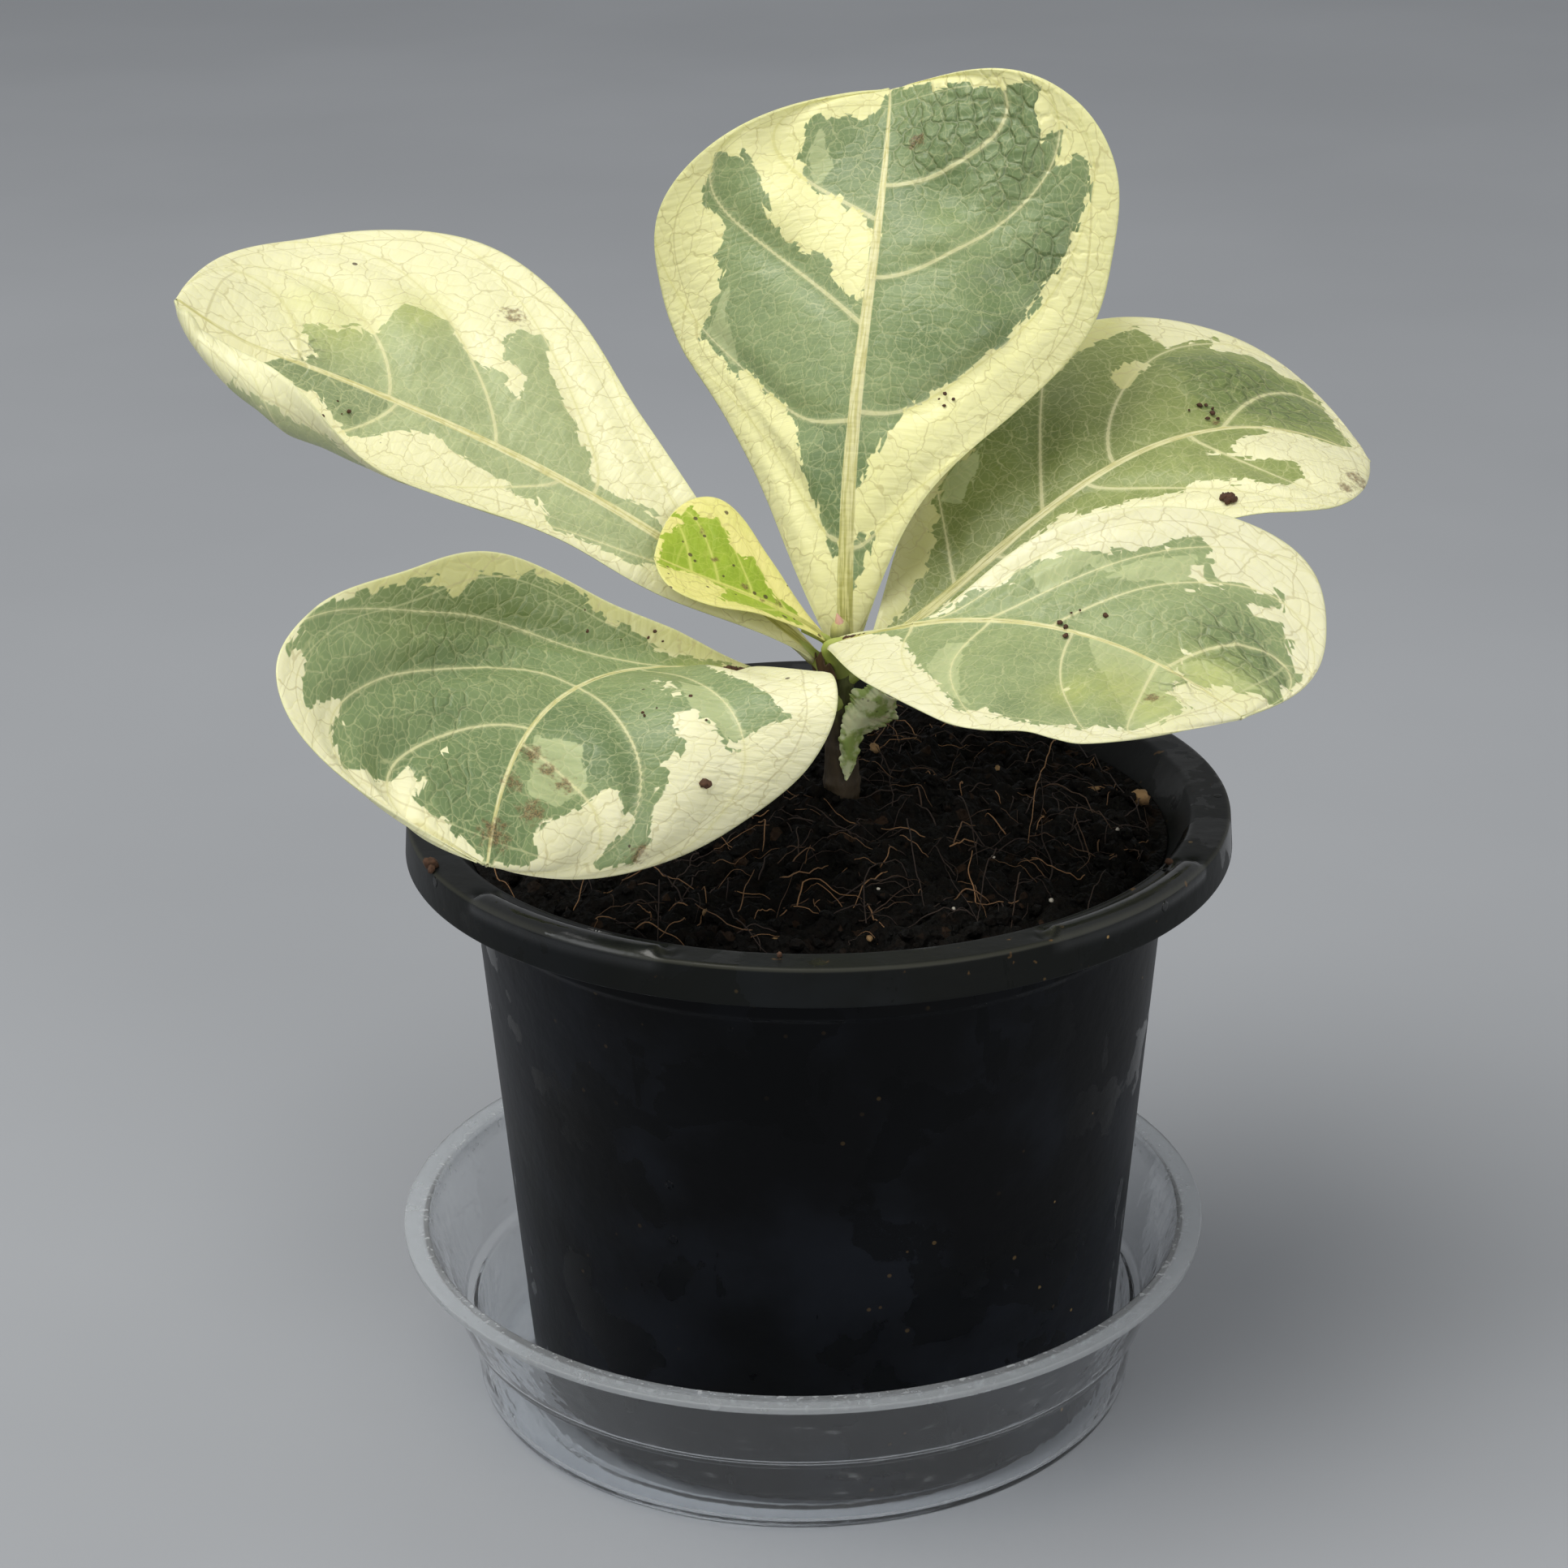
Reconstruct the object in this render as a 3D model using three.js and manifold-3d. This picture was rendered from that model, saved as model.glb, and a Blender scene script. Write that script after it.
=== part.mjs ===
// A young variegated fiddle-leaf fig in a black nursery pot that stands in a clear saucer.
// Millimetres, +Z up. The origin is on the saucer's underside, below the pot's axis.
// -Y is the front: leaf C droops over the rim there, and leaf A stands upright behind the stem.

import * as THREE from "three";
import { mergeVertices } from "three/addons/utils/BufferGeometryUtils.js";
import Module from "manifold-3d";

const wasm = await Module();
wasm.setup();

// Driving sizes of the pot: a 150 mm nursery pot of thin black plastic.
const RIM_TOP = 116.9;          // height of the flange above the table
const RIM_RADIUS = 75;
const RIM_INNER_RADIUS = 68;
const RIM_BAND = 7;             // how far the rim turns down
const RIM_FLARE = 0.6;          // the turned-down band leans out by this much
const POT_WALL = 1.4;
const POT_SHOULDER = 8;         // the wall meets the rim this far below the flange
const POT_SHOULDER_RADIUS = 64.1;
const POT_FOOT_RADIUS = 55.4;
const POT_FOOT_CHAMFER = 2.2;
const POT_FLOOR = 5.4;          // top of the pot's floor
const STEP_RINGS = [10.5, 14.5];    // faint steps in the wall, measured down from the flange
const STEP_RING_PROUD = 0.7;
const DRAIN_HOLES = 6;
const DRAIN_RADIUS = 4;
const DRAIN_CIRCLE = 40;
const GRIP_ANGLES = [-127.5, -42.5, 48, 138];   // middles of the four rolled grips in the rim
const GRIP_SPAN = 32;
const GRIP_RADIUS = 2.6;        // the grip's rolled bar

// Driving sizes of the saucer, which stands a little to the left of the pot's axis.
const SAUCER_X = -3.6;
const SAUCER_HEIGHT = 34.1;
const SAUCER_RIM_RADIUS = 76;
const SAUCER_FLANGE = 3.5;
const SAUCER_LEDGE_RADIUS = 65.8;
const SAUCER_LEDGE = 15.6;      // height of the ring-shaped ledge in the wall
const SAUCER_LEDGE_WIDTH = 1.8;
const SAUCER_BASE_RADIUS = 62.5;
const SAUCER_CORNER = 4;
const SAUCER_WALL = 1.2;

// Shared by all pieces.
const ROUND_SIDES = 48;         // sides of the pot and the saucer
const CLEARANCE = 0.3;          // left between pieces that touch

// Soil and stem.
const SOIL_EDGE = 111.5;       // soil level where it meets the pot
const SOIL_MOUND = 5.5;         // how much it rises round the stem
const SOIL_MOUND_RADIUS = 26;
const STEM_FOOT = [4.5, 4, 90]; // the stem's lower end, in the hole in the soil
const STEM_TOP = [4.3, 2.5, 148.5];
const STEM_RADII = [4.6, 4.4, 3.4, 2.7, 2.3];
const CRUMBS = 46;
const FIBRES = 26;

// Leaves: a blade is a lattice along the rib and across it.
const BLADE_THICK = 0.8;
const RIB_DEPTH = 1.3;          // how far the rib stands out below the blade, at its base
const PETIOLE_RADIUS = 1.4;
const PETIOLE_HALF_WIDTH = 1.3; // half the blade's width where it starts
const ROWS = 20;
const COLUMNS = [-1, -0.8, -0.6, -0.42, -0.24, -0.06, 0, 0.06, 0.24, 0.42, 0.6, 0.8, 1];
const THIN_COLUMNS = [-1, -0.7, -0.35, 0, 0.35, 0.7, 1];
const SECTION_STEPS = 24;
const TIP_END = 0.985;          // the last row, just short of the very tip
const TIGHTEST_FOLD = 2.5;      // smallest radius of a folded margin
const VEIN_HALF_WIDTH = 2.6;

const MATERIALS = {
  pot: { color: 0x15171a, roughness: 0.45, metalness: 0 },
  saucer: { color: 0xd5dade, roughness: 0.12, metalness: 0, transparent: true, opacity: 0.35 },
  soil: { color: 0x1c1512, roughness: 0.95, metalness: 0 },
  stem: { color: 0x5b5a34, roughness: 0.8, metalness: 0 },
  leaf: { color: 0xa9b98b, roughness: 0.42, metalness: 0 },
  youngLeaf: { color: 0xb4c850, roughness: 0.4, metalness: 0 },
  scrap: { color: 0xa8bd80, roughness: 0.6, metalness: 0 },
};

// Each leaf: the rib as a cubic Bezier curve from the petiole to the tip, the roll of the blade
// about it at the base, the middle and the tip, and for each half its widths from base to tip,
// the angle at which it leaves the rib, how it curls and folds across, and its swept margin.
// Left and right are as seen from the petiole, with the upper face up.
const LEAVES = {
  leaf_A: {
    rib: [[5.4, 7.4, 140.6], [4.7, 14.7, 191.3], [13.2, 31.6, 209.7], [15.2, 56.9, 235.7]],
    roll: [-6.5, -0.5, -6.2], rise: 9,
    left: { widths: [16, 29.4, 39.5, 42.9, 41.8, 32.8, 18.7], lift: [3, -11, 15], curl: [-9, -19, 11],
            sweep: -0.19, veins: [0.16, 0.34, 0.52, 0.74] },
    right: { widths: [12.8, 30, 40.7, 43.3, 43, 36.6, 23.2], lift: [9.5, -11, 22], curl: [-3, -17, 17],
             sweep: -0.01, veins: [0.17, 0.36, 0.61, 0.81] },
    wave: 0.7, bulge: 1.5,
  },
  leaf_B: {
    rib: [[-0.3, 2.1, 143.5], [-30.8, 4.5, 172.8], [-70.9, 18.7, 187.2], [-109.6, 12.6, 203.4]],
    roll: [-29.8, -34.1, -32.9], rise: 5, hook: [-3.5, 0, 5],
    left: { widths: [9.8, 12, 18.3, 26.3, 26.7, 23.1, 14.2], lift: [7, -2, -16], curl: [14, 19, 59],
            fold: [0, 0, 190], foldAt: 0.68, foldWidth: 0.5, sweep: 0.05, veins: [0.2, 0.45, 0.7] },
    right: { widths: [7.4, 20, 36, 44.8, 44.3, 37.5, 23.5], lift: [10, 0, -11], curl: [8, 3, -7],
             sweep: -0.1, veins: [0.2, 0.4, 0.56, 0.72, 0.85] },
    wave: 0.6, bulge: 1.1,
  },
  leaf_C: {
    rib: [[-1.5, -3.7, 140.1], [-28.8, -22, 152.1], [-51.7, -41.8, 162.9], [-53.7, -85, 140.5]],
    roll: [-5, -7.6, -20.9], rise: 6,
    left: { widths: [18.2, 34.4, 43.2, 44.3, 40.4, 33.4, 20.2], lift: [26, 16, -22], curl: [-32, -4, -18],
            sweep: -0.31, veins: [0.2, 0.4, 0.58, 0.78] },
    right: { widths: [4.9, 13.4, 28.8, 34.1, 41.7, 42.1, 29.3], lift: [22, 20, 5], curl: [4, 4, 2],
             fold: [66, 45, 13], foldAt: 0.47, foldWidth: 0.3, sweep: -0.09, veins: [0.32, 0.58, 0.74] },
    wave: 0.6, bulge: 1.5,
  },
  leaf_D: {
    rib: [[2.7, -2.2, 147.2], [27.2, -20.6, 161.3], [50, -15.1, 157], [71.8, -37.5, 145.9]],
    roll: [11, 21, 7], rise: 7,
    left: { widths: [2, 16.5, 28.8, 37.7, 39.9, 31.5, 18.9], lift: [12, 14.6, -6], curl: [0, 4, -7],
            sweep: 0.11, veins: [0.38, 0.54, 0.83] },
    right: { widths: [21.4, 31.3, 33.6, 33.3, 32.7, 29.9, 20], lift: [10, 8, 7], curl: [0, 1, 1],
             sweep: -0.11, veins: [0.2, 0.39, 0.6, 0.8] },
    wave: 0.5, bulge: 1.2,
  },
  leaf_E: {
    rib: [[10.2, 3.3, 143.8], [34.1, 17.3, 153.2], [61.2, 34, 192.6], [104.8, 39.2, 168]],
    roll: [19.8, 21.9, 13.5], rise: 5,
    left: { widths: [15.3, 27.1, 35.8, 39.8, 38.1, 33.3, 21.7], lift: [14, 6.7, -3], curl: [2, -1, -7],
            sweep: -0.04, veins: [0.23, 0.41, 0.56, 0.75] },
    right: { widths: [10, 17, 24, 29, 30.5, 26.4, 15.6], lift: [12, 7, 4], curl: [0, -1, 0],
             sweep: -0.07, veins: [0.3, 0.5, 0.7] },
    wave: 0.6, bulge: 1.2,
  },
  leaf_young: {
    rib: [[1.4, 1.6, 147.3], [-7.5, -1.5, 155.8], [-18.1, -2.6, 158.8], [-28.6, -4.6, 165.1]],
    roll: [-28.4, -27.8, -26.9], rise: 2,
    left: { widths: [3.5, 6.7, 9.6, 11.2, 11.3, 9.9, 6.3], lift: [12.6, 18.6, 10.3], curl: [1, 11, 6],
            sweep: 0, veins: [0.3, 0.6] },
    right: { widths: [4.6, 10.1, 15.6, 18.3, 18, 14.9, 9.1], lift: [6, 11, 2], curl: [-6, 3, -2],
             sweep: -0.02, veins: [0.25, 0.45, 0.65, 0.8] },
    wave: 0.2, bulge: 0.4, rows: 12, thin: true,
  },
};

const degrees = Math.PI / 180;
const TAU = 2 * Math.PI;

// Random numbers that come out alike every time.
function seeded(seed) {
  let state = seed >>> 0;
  return () => {
    state = (Math.imul(state, 1664525) + 1013904223) >>> 0;
    return state / 4294967296;
  };
}

// Conversions between three.js geometry and manifold solids, for joins and cuts.
function toSolid(geometry) {
  const bare = geometry.clone();
  for (const name of Object.keys(bare.attributes)) {
    if (name !== "position") bare.deleteAttribute(name);
  }
  const merged = mergeVertices(bare, 1e-4);
  return new wasm.Manifold(new wasm.Mesh({
    numProp: 3,
    vertProperties: new Float32Array(merged.attributes.position.array),
    triVerts: new Uint32Array(merged.index.array),
  }));
}

function toGeometry(solid) {
  const mesh = solid.getMesh();
  const geometry = new THREE.BufferGeometry();
  geometry.setAttribute("position", new THREE.BufferAttribute(mesh.vertProperties, 3));
  geometry.setIndex(new THREE.BufferAttribute(mesh.triVerts, 1));
  return geometry;
}

// The largest connected body of a solid, without loose scraps.
function wholeOf(solid) {
  return solid.decompose().reduce((best, body) => (body.volume() > best.volume() ? body : best));
}

// Lathe about the Z axis, from [radius, height] points.
function turned(points, segments) {
  const profile = points.map(([radius, height]) => new THREE.Vector2(radius, height));
  return new THREE.LatheGeometry(profile, segments).rotateX(Math.PI / 2);
}

// Round bar along a smooth curve through the points, with both ends closed.
function bar(points, radius, sides, steps) {
  const outline = new THREE.Shape();
  for (let k = 0; k < sides; k++) {
    const angle = (k / sides) * TAU;
    const corner = [radius * Math.cos(angle), radius * Math.sin(angle)];
    if (k === 0) outline.moveTo(...corner);
    else outline.lineTo(...corner);
  }
  const path = new THREE.CatmullRomCurve3(points.map((p) => new THREE.Vector3(...p)));
  return new THREE.ExtrudeGeometry(outline, { steps, extrudePath: path });
}

// Value at position 0..1 of a quantity given at the base, the middle and the tip.
function threePoint([base, middle, tip], t) {
  return base * (1 - t) * (1 - 2 * t) + middle * 4 * t * (1 - t) + tip * t * (2 * t - 1);
}

// Smooth curve through evenly spaced values.
function smoothThrough(values, s) {
  const last = values.length - 1;
  const x = Math.min(Math.max(s, 0), 1) * last;
  const i = Math.min(Math.floor(x), last - 1);
  const f = x - i;
  const at = (k) => {
    if (k < 0) return 2 * values[0] - values[1];
    if (k > last) return 2 * values[last] - values[last - 1];
    return values[k];
  };
  const [a, b, c, d] = [at(i - 1), at(i), at(i + 1), at(i + 2)];
  return b + 0.5 * f * (c - a + f * (2 * a - 5 * b + 4 * c - d + f * (3 * (b - c) + d - a)));
}

function smoothStep(x) {
  const f = Math.min(Math.max(x, 0), 1);
  return f * f * (3 - 2 * f);
}

// Rows crowd towards the tip, where the outline turns fastest.
const TIP_CROWDING = 1.8;
function alongRib(s) {
  return 1 - Math.pow(1 - s, TIP_CROWDING);
}

// The rib's point and the blade's directions there: along, up and to the right.
function ribFrame(leaf, t) {
  const [a, b, c, d] = leaf.rib.map((p) => new THREE.Vector3(...p));
  const point = new THREE.CubicBezierCurve3(a, b, c, d).getPoint(t);
  const ahead = new THREE.Vector3()
    .addScaledVector(b.clone().sub(a), (1 - t) ** 2)
    .addScaledVector(c.clone().sub(b), 2 * (1 - t) * t)
    .addScaledVector(d.clone().sub(c), t * t)
    .normalize();
  const upright = new THREE.Vector3(0, 0, 1).addScaledVector(ahead, -ahead.z).normalize();
  const sideways = new THREE.Vector3().crossVectors(ahead, upright);
  const roll = threePoint(leaf.roll, t) * degrees;
  const up = upright.multiplyScalar(Math.cos(roll)).addScaledVector(sideways, Math.sin(roll));
  const right = new THREE.Vector3().crossVectors(ahead, up);
  if (leaf.hook) point.addScaledVector(new THREE.Vector3(...leaf.hook), Math.max(0, (t - 0.9) / 0.1) ** 2);
  return { point, ahead, up, right };
}

// How deep the blade lies in its vein grooves: 1 on a side vein, 0 between two of them.
// A side vein leaves the rib at its start and bends towards the tip on its way out.
const VEIN_RISE = 0.8;
const RIB_LENGTH = 110;
function veinDepth(half, t, across) {
  let depth = 0;
  for (const start of half.veins) {
    const bend = Math.max(1.2, 3.6 - 3 * start);
    const there = start + VEIN_RISE * (1 - start) * Math.pow(across, bend);
    const away = (Math.abs(t - there) * RIB_LENGTH) / VEIN_HALF_WIDTH;
    depth = Math.max(depth, Math.exp(-away * away * 0.5));
  }
  return depth;
}

// Point of the blade's middle surface, s along from 0 to 1 and v across from -1 to 1. The section
// is an arc: it leaves the rib at its lift, turns evenly by its curl and may fold near the margin.
function bladePoint(leaf, s, v) {
  const t = alongRib(s);
  const { point, ahead, up, right } = ribFrame(leaf, t);
  const half = v < 0 ? leaf.left : leaf.right;
  const across = Math.abs(v);
  const width = Math.max(0.4, smoothThrough([PETIOLE_HALF_WIDTH, ...half.widths, 0], s));
  const lift = threePoint(half.lift, t) * degrees;
  const curl = threePoint(half.curl, t) * degrees;
  let fold = half.fold ? threePoint(half.fold, t) * degrees : 0;
  if (half.fold) fold = Math.min(fold, (width * half.foldWidth) / TIGHTEST_FOLD);
  let outward = 0;
  let upward = 0;
  for (let k = 0; k < SECTION_STEPS; k++) {
    const middle = (k + 0.5) / SECTION_STEPS;
    const part = Math.min(Math.max(across * SECTION_STEPS - k, 0), 1) / SECTION_STEPS;
    let angle = lift + curl * middle;
    if (fold) angle += fold * smoothStep((middle - half.foldAt) / half.foldWidth + 0.5);
    outward += Math.cos(angle) * part;
    upward += Math.sin(angle) * part;
  }
  const margin = leaf.wave * across ** 3 * Math.sin(TAU * (2.3 * t + (v < 0 ? 0.15 : 0.6)));
  const inner = Math.sin(Math.PI * Math.min(1, across * 1.05)) * Math.min(1, width / 20);
  const relief = leaf.bulge * inner * (0.5 - veinDepth(half, t, across));
  return point
    .addScaledVector(right, Math.sign(v) * width * outward)
    .addScaledVector(up, width * upward + relief + margin)
    .addScaledVector(ahead, width * half.sweep * across ** 1.5);
}

// Closed blade: an upper and a lower lattice split into triangles alike, joined round the edge.
function bladeGeometry(leaf) {
  const rows = leaf.rows ?? ROWS;
  const columns = leaf.thin ? THIN_COLUMNS : COLUMNS;
  const count = columns.length;
  const middle = [];
  for (let i = 0; i <= rows; i++) {
    for (const v of columns) middle.push(bladePoint(leaf, (i / rows) * TIP_END, v));
  }
  const at = (i, j) => middle[Math.min(Math.max(i, 0), rows) * count + Math.min(Math.max(j, 0), count - 1)];
  const positions = [];
  for (const side of [1, -1]) {
    for (let i = 0; i <= rows; i++) {
      for (let j = 0; j < count; j++) {
        const alongStep = at(i + 1, j).clone().sub(at(i - 1, j));
        const acrossStep = at(i, j + 1).clone().sub(at(i, j - 1));
        const normal = acrossStep.cross(alongStep).normalize();
        const t = i / rows;
        const onRib = columns[j] === 0 ? (leaf.thin ? 0.4 : 1) * RIB_DEPTH * (1 - 0.7 * t) : 0;
        const offset = side > 0 ? BLADE_THICK / 2 : -BLADE_THICK / 2 - onRib;
        positions.push(...at(i, j).clone().addScaledVector(normal, offset).toArray());
      }
    }
  }
  const lower = (rows + 1) * count;
  const index = [];
  const wall = (a, b) => index.push(a, a + lower, b, b, a + lower, b + lower);
  for (let i = 0; i < rows; i++) {
    for (let j = 0; j < count - 1; j++) {
      const a = i * count + j;
      const [b, c, d] = [a + 1, a + count, a + count + 1];
      index.push(a, b, d, a, d, c);
      index.push(lower + a, lower + d, lower + b, lower + a, lower + c, lower + d);
    }
    wall((i + 1) * count, i * count);
    wall(i * count + count - 1, (i + 1) * count + count - 1);
  }
  for (let j = 0; j < count - 1; j++) {
    wall(j, j + 1);
    wall(rows * count + j + 1, rows * count + j);
  }
  const geometry = new THREE.BufferGeometry();
  geometry.setAttribute("position", new THREE.Float32BufferAttribute(positions, 3));
  geometry.setIndex(index);
  return geometry;
}

// The stem's centre at a height, and its solid with an allowance all round.
const stemAxis = new THREE.LineCurve3(new THREE.Vector3(...STEM_FOOT), new THREE.Vector3(...STEM_TOP));
function stemCentre(height) {
  return stemAxis.getPoint((height - STEM_FOOT[2]) / (STEM_TOP[2] - STEM_FOOT[2]));
}

function stemBody(allowance) {
  const last = STEM_RADII.length - 1;
  const length = STEM_TOP[2] - STEM_FOOT[2];
  const outline = STEM_RADII.map((radius, k) => [radius + allowance, (k / last) * length]);
  const geometry = turned([[0, -allowance], [outline[0][0], -allowance], ...outline.slice(1),
    [1.1 + allowance, length + 1.6], [0, length + 2.4 + allowance]], 14);
  const lean = new THREE.Matrix4().makeShear(0, 0, 0, 0,
    (STEM_TOP[0] - STEM_FOOT[0]) / length, (STEM_TOP[1] - STEM_FOOT[1]) / length);
  return geometry.applyMatrix4(lean).translate(...STEM_FOOT);
}

// Blade and petiole as one piece, cut to a seat round the stem.
function leafGeometry(leaf) {
  const start = new THREE.Vector3(...leaf.rib[0]);
  const seat = stemCentre(start.z - leaf.rise);
  const inBlade = ribFrame(leaf, leaf.thin ? 0.12 : 0.1);
  const between = seat.clone().lerp(start, 0.6).add(new THREE.Vector3(0, 0, -0.6));
  const radius = (leaf.thin ? 0.65 : 1) * PETIOLE_RADIUS;
  const petiole = bar([seat.toArray(), between.toArray(), start.toArray(),
    inBlade.point.clone().addScaledVector(inBlade.up, -radius * 0.6).toArray()], radius, 7, 7);
  const joined = toSolid(bladeGeometry(leaf)).add(toSolid(petiole));
  return toGeometry(wholeOf(joined.subtract(toSolid(stemBody(CLEARANCE)))));
}

// Pot: one turned wall with the rim, its step rings and floor, drain holes cut through the floor,
// and four rolled grips in the rim.
function wallRadius(height) {
  const share = height / (RIM_TOP - POT_SHOULDER);
  return POT_FOOT_RADIUS + (POT_SHOULDER_RADIUS - POT_FOOT_RADIUS) * share;
}

function potGeometry() {
  const shoulder = RIM_TOP - POT_SHOULDER;
  const [upperStep, lowerStep] = STEP_RINGS.map((down) => RIM_TOP - down);
  const bandFoot = RIM_TOP - RIM_BAND;
  const profile = [
    [0, POT_FLOOR - POT_WALL], [DRAIN_CIRCLE + 11, POT_FLOOR - POT_WALL], [DRAIN_CIRCLE + 11.5, SAUCER_WALL],
    [POT_FOOT_RADIUS - POT_FOOT_CHAMFER, SAUCER_WALL], [POT_FOOT_RADIUS, SAUCER_WALL + POT_FOOT_CHAMFER],
    [wallRadius(lowerStep - 1), lowerStep - 1], [wallRadius(lowerStep) + STEP_RING_PROUD, lowerStep],
    [wallRadius(upperStep - 0.8), upperStep - 0.8], [wallRadius(upperStep) + STEP_RING_PROUD, upperStep],
    [POT_SHOULDER_RADIUS + STEP_RING_PROUD, shoulder],
    [RIM_INNER_RADIUS + 0.4, RIM_TOP - POT_WALL], [RIM_RADIUS - 1.5, RIM_TOP - POT_WALL],
    [RIM_RADIUS + RIM_FLARE - POT_WALL, bandFoot], [RIM_RADIUS + RIM_FLARE, bandFoot],
    [RIM_RADIUS + 0.2, RIM_TOP - 0.8], [RIM_RADIUS - 0.7, RIM_TOP], [RIM_INNER_RADIUS + 0.6, RIM_TOP],
    [RIM_INNER_RADIUS, RIM_TOP - 0.5], [POT_SHOULDER_RADIUS - POT_WALL + 0.8, shoulder + 0.6],
    [wallRadius(shoulder - 3) - POT_WALL, shoulder - 3],
    [wallRadius(POT_FLOOR + 2) - POT_WALL, POT_FLOOR + 2], [wallRadius(POT_FLOOR) - POT_WALL - 2, POT_FLOOR],
    [0, POT_FLOOR],
  ];
  let pot = toSolid(turned(profile, ROUND_SIDES));
  for (let k = 0; k < DRAIN_HOLES; k++) {
    const angle = (k / DRAIN_HOLES) * TAU;
    const hole = new THREE.CylinderGeometry(DRAIN_RADIUS, DRAIN_RADIUS, 12, 10).rotateX(Math.PI / 2)
      .translate(DRAIN_CIRCLE * Math.cos(angle), DRAIN_CIRCLE * Math.sin(angle), POT_FLOOR);
    pot = pot.subtract(toSolid(hole));
  }
  for (const middle of GRIP_ANGLES) pot = pot.add(toSolid(gripGeometry(middle)));
  return toGeometry(pot);
}

// A grip: a rolled bar that follows the outer edge of the rim and stands a little over it.
function gripGeometry(middle) {
  const points = [];
  const pieces = 6;
  for (let k = 0; k <= pieces; k++) {
    const angle = (middle + GRIP_SPAN * (k / pieces - 0.5)) * degrees;
    const radius = RIM_RADIUS - GRIP_RADIUS + 0.3;
    points.push([radius * Math.cos(angle), radius * Math.sin(angle), RIM_TOP - GRIP_RADIUS + 1.1]);
  }
  return bar(points, GRIP_RADIUS, 6, 8);
}

// Saucer: one turned dish with a rounded foot, a ring-shaped ledge in its wall and a flat flange.
function saucerGeometry() {
  const corner = [];
  const inner = [];
  for (let k = 0; k <= 3; k++) {
    const angle = (k / 3) * 0.5 * Math.PI;
    const out = SAUCER_CORNER * (Math.sin(angle) - 1);
    const rise = SAUCER_CORNER * (1 - Math.cos(angle));
    corner.push([SAUCER_BASE_RADIUS + out, rise]);
    inner.push([SAUCER_BASE_RADIUS - SAUCER_WALL + out * 0.85, SAUCER_WALL + rise * 0.85]);
  }
  const flangeFoot = SAUCER_RIM_RADIUS - SAUCER_FLANGE;
  const ledgeFoot = SAUCER_LEDGE_RADIUS - SAUCER_LEDGE_WIDTH;
  const profile = [
    [0, 0], ...corner, [ledgeFoot, SAUCER_LEDGE - SAUCER_WALL], [SAUCER_LEDGE_RADIUS, SAUCER_LEDGE],
    [flangeFoot, SAUCER_HEIGHT - SAUCER_WALL], [SAUCER_RIM_RADIUS, SAUCER_HEIGHT - SAUCER_WALL],
    [SAUCER_RIM_RADIUS, SAUCER_HEIGHT], [flangeFoot - SAUCER_WALL, SAUCER_HEIGHT],
    [SAUCER_LEDGE_RADIUS - SAUCER_WALL, SAUCER_LEDGE + SAUCER_WALL],
    [ledgeFoot - SAUCER_WALL, SAUCER_LEDGE], ...inner.reverse(), [0, SAUCER_WALL],
  ];
  return turned(profile, ROUND_SIDES).translate(SAUCER_X, 0, 0);
}

// Height of the soil's top: level at the pot, rising to a mound round the stem, with lumps.
function soilHeight(x, y) {
  const away = Math.hypot(x - STEM_FOOT[0], y - STEM_FOOT[1]) / SOIL_MOUND_RADIUS;
  const lumps = 0.9 * Math.sin(x * 0.31 + 1.3) * Math.sin(y * 0.27) + 0.6 * Math.sin(x * 0.67 - y * 0.52 + 2)
    + 0.35 * Math.sin(x * 1.1 + y * 1.3);
  return SOIL_EDGE + SOIL_MOUND * Math.exp(-away * away) + lumps;
}

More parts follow.
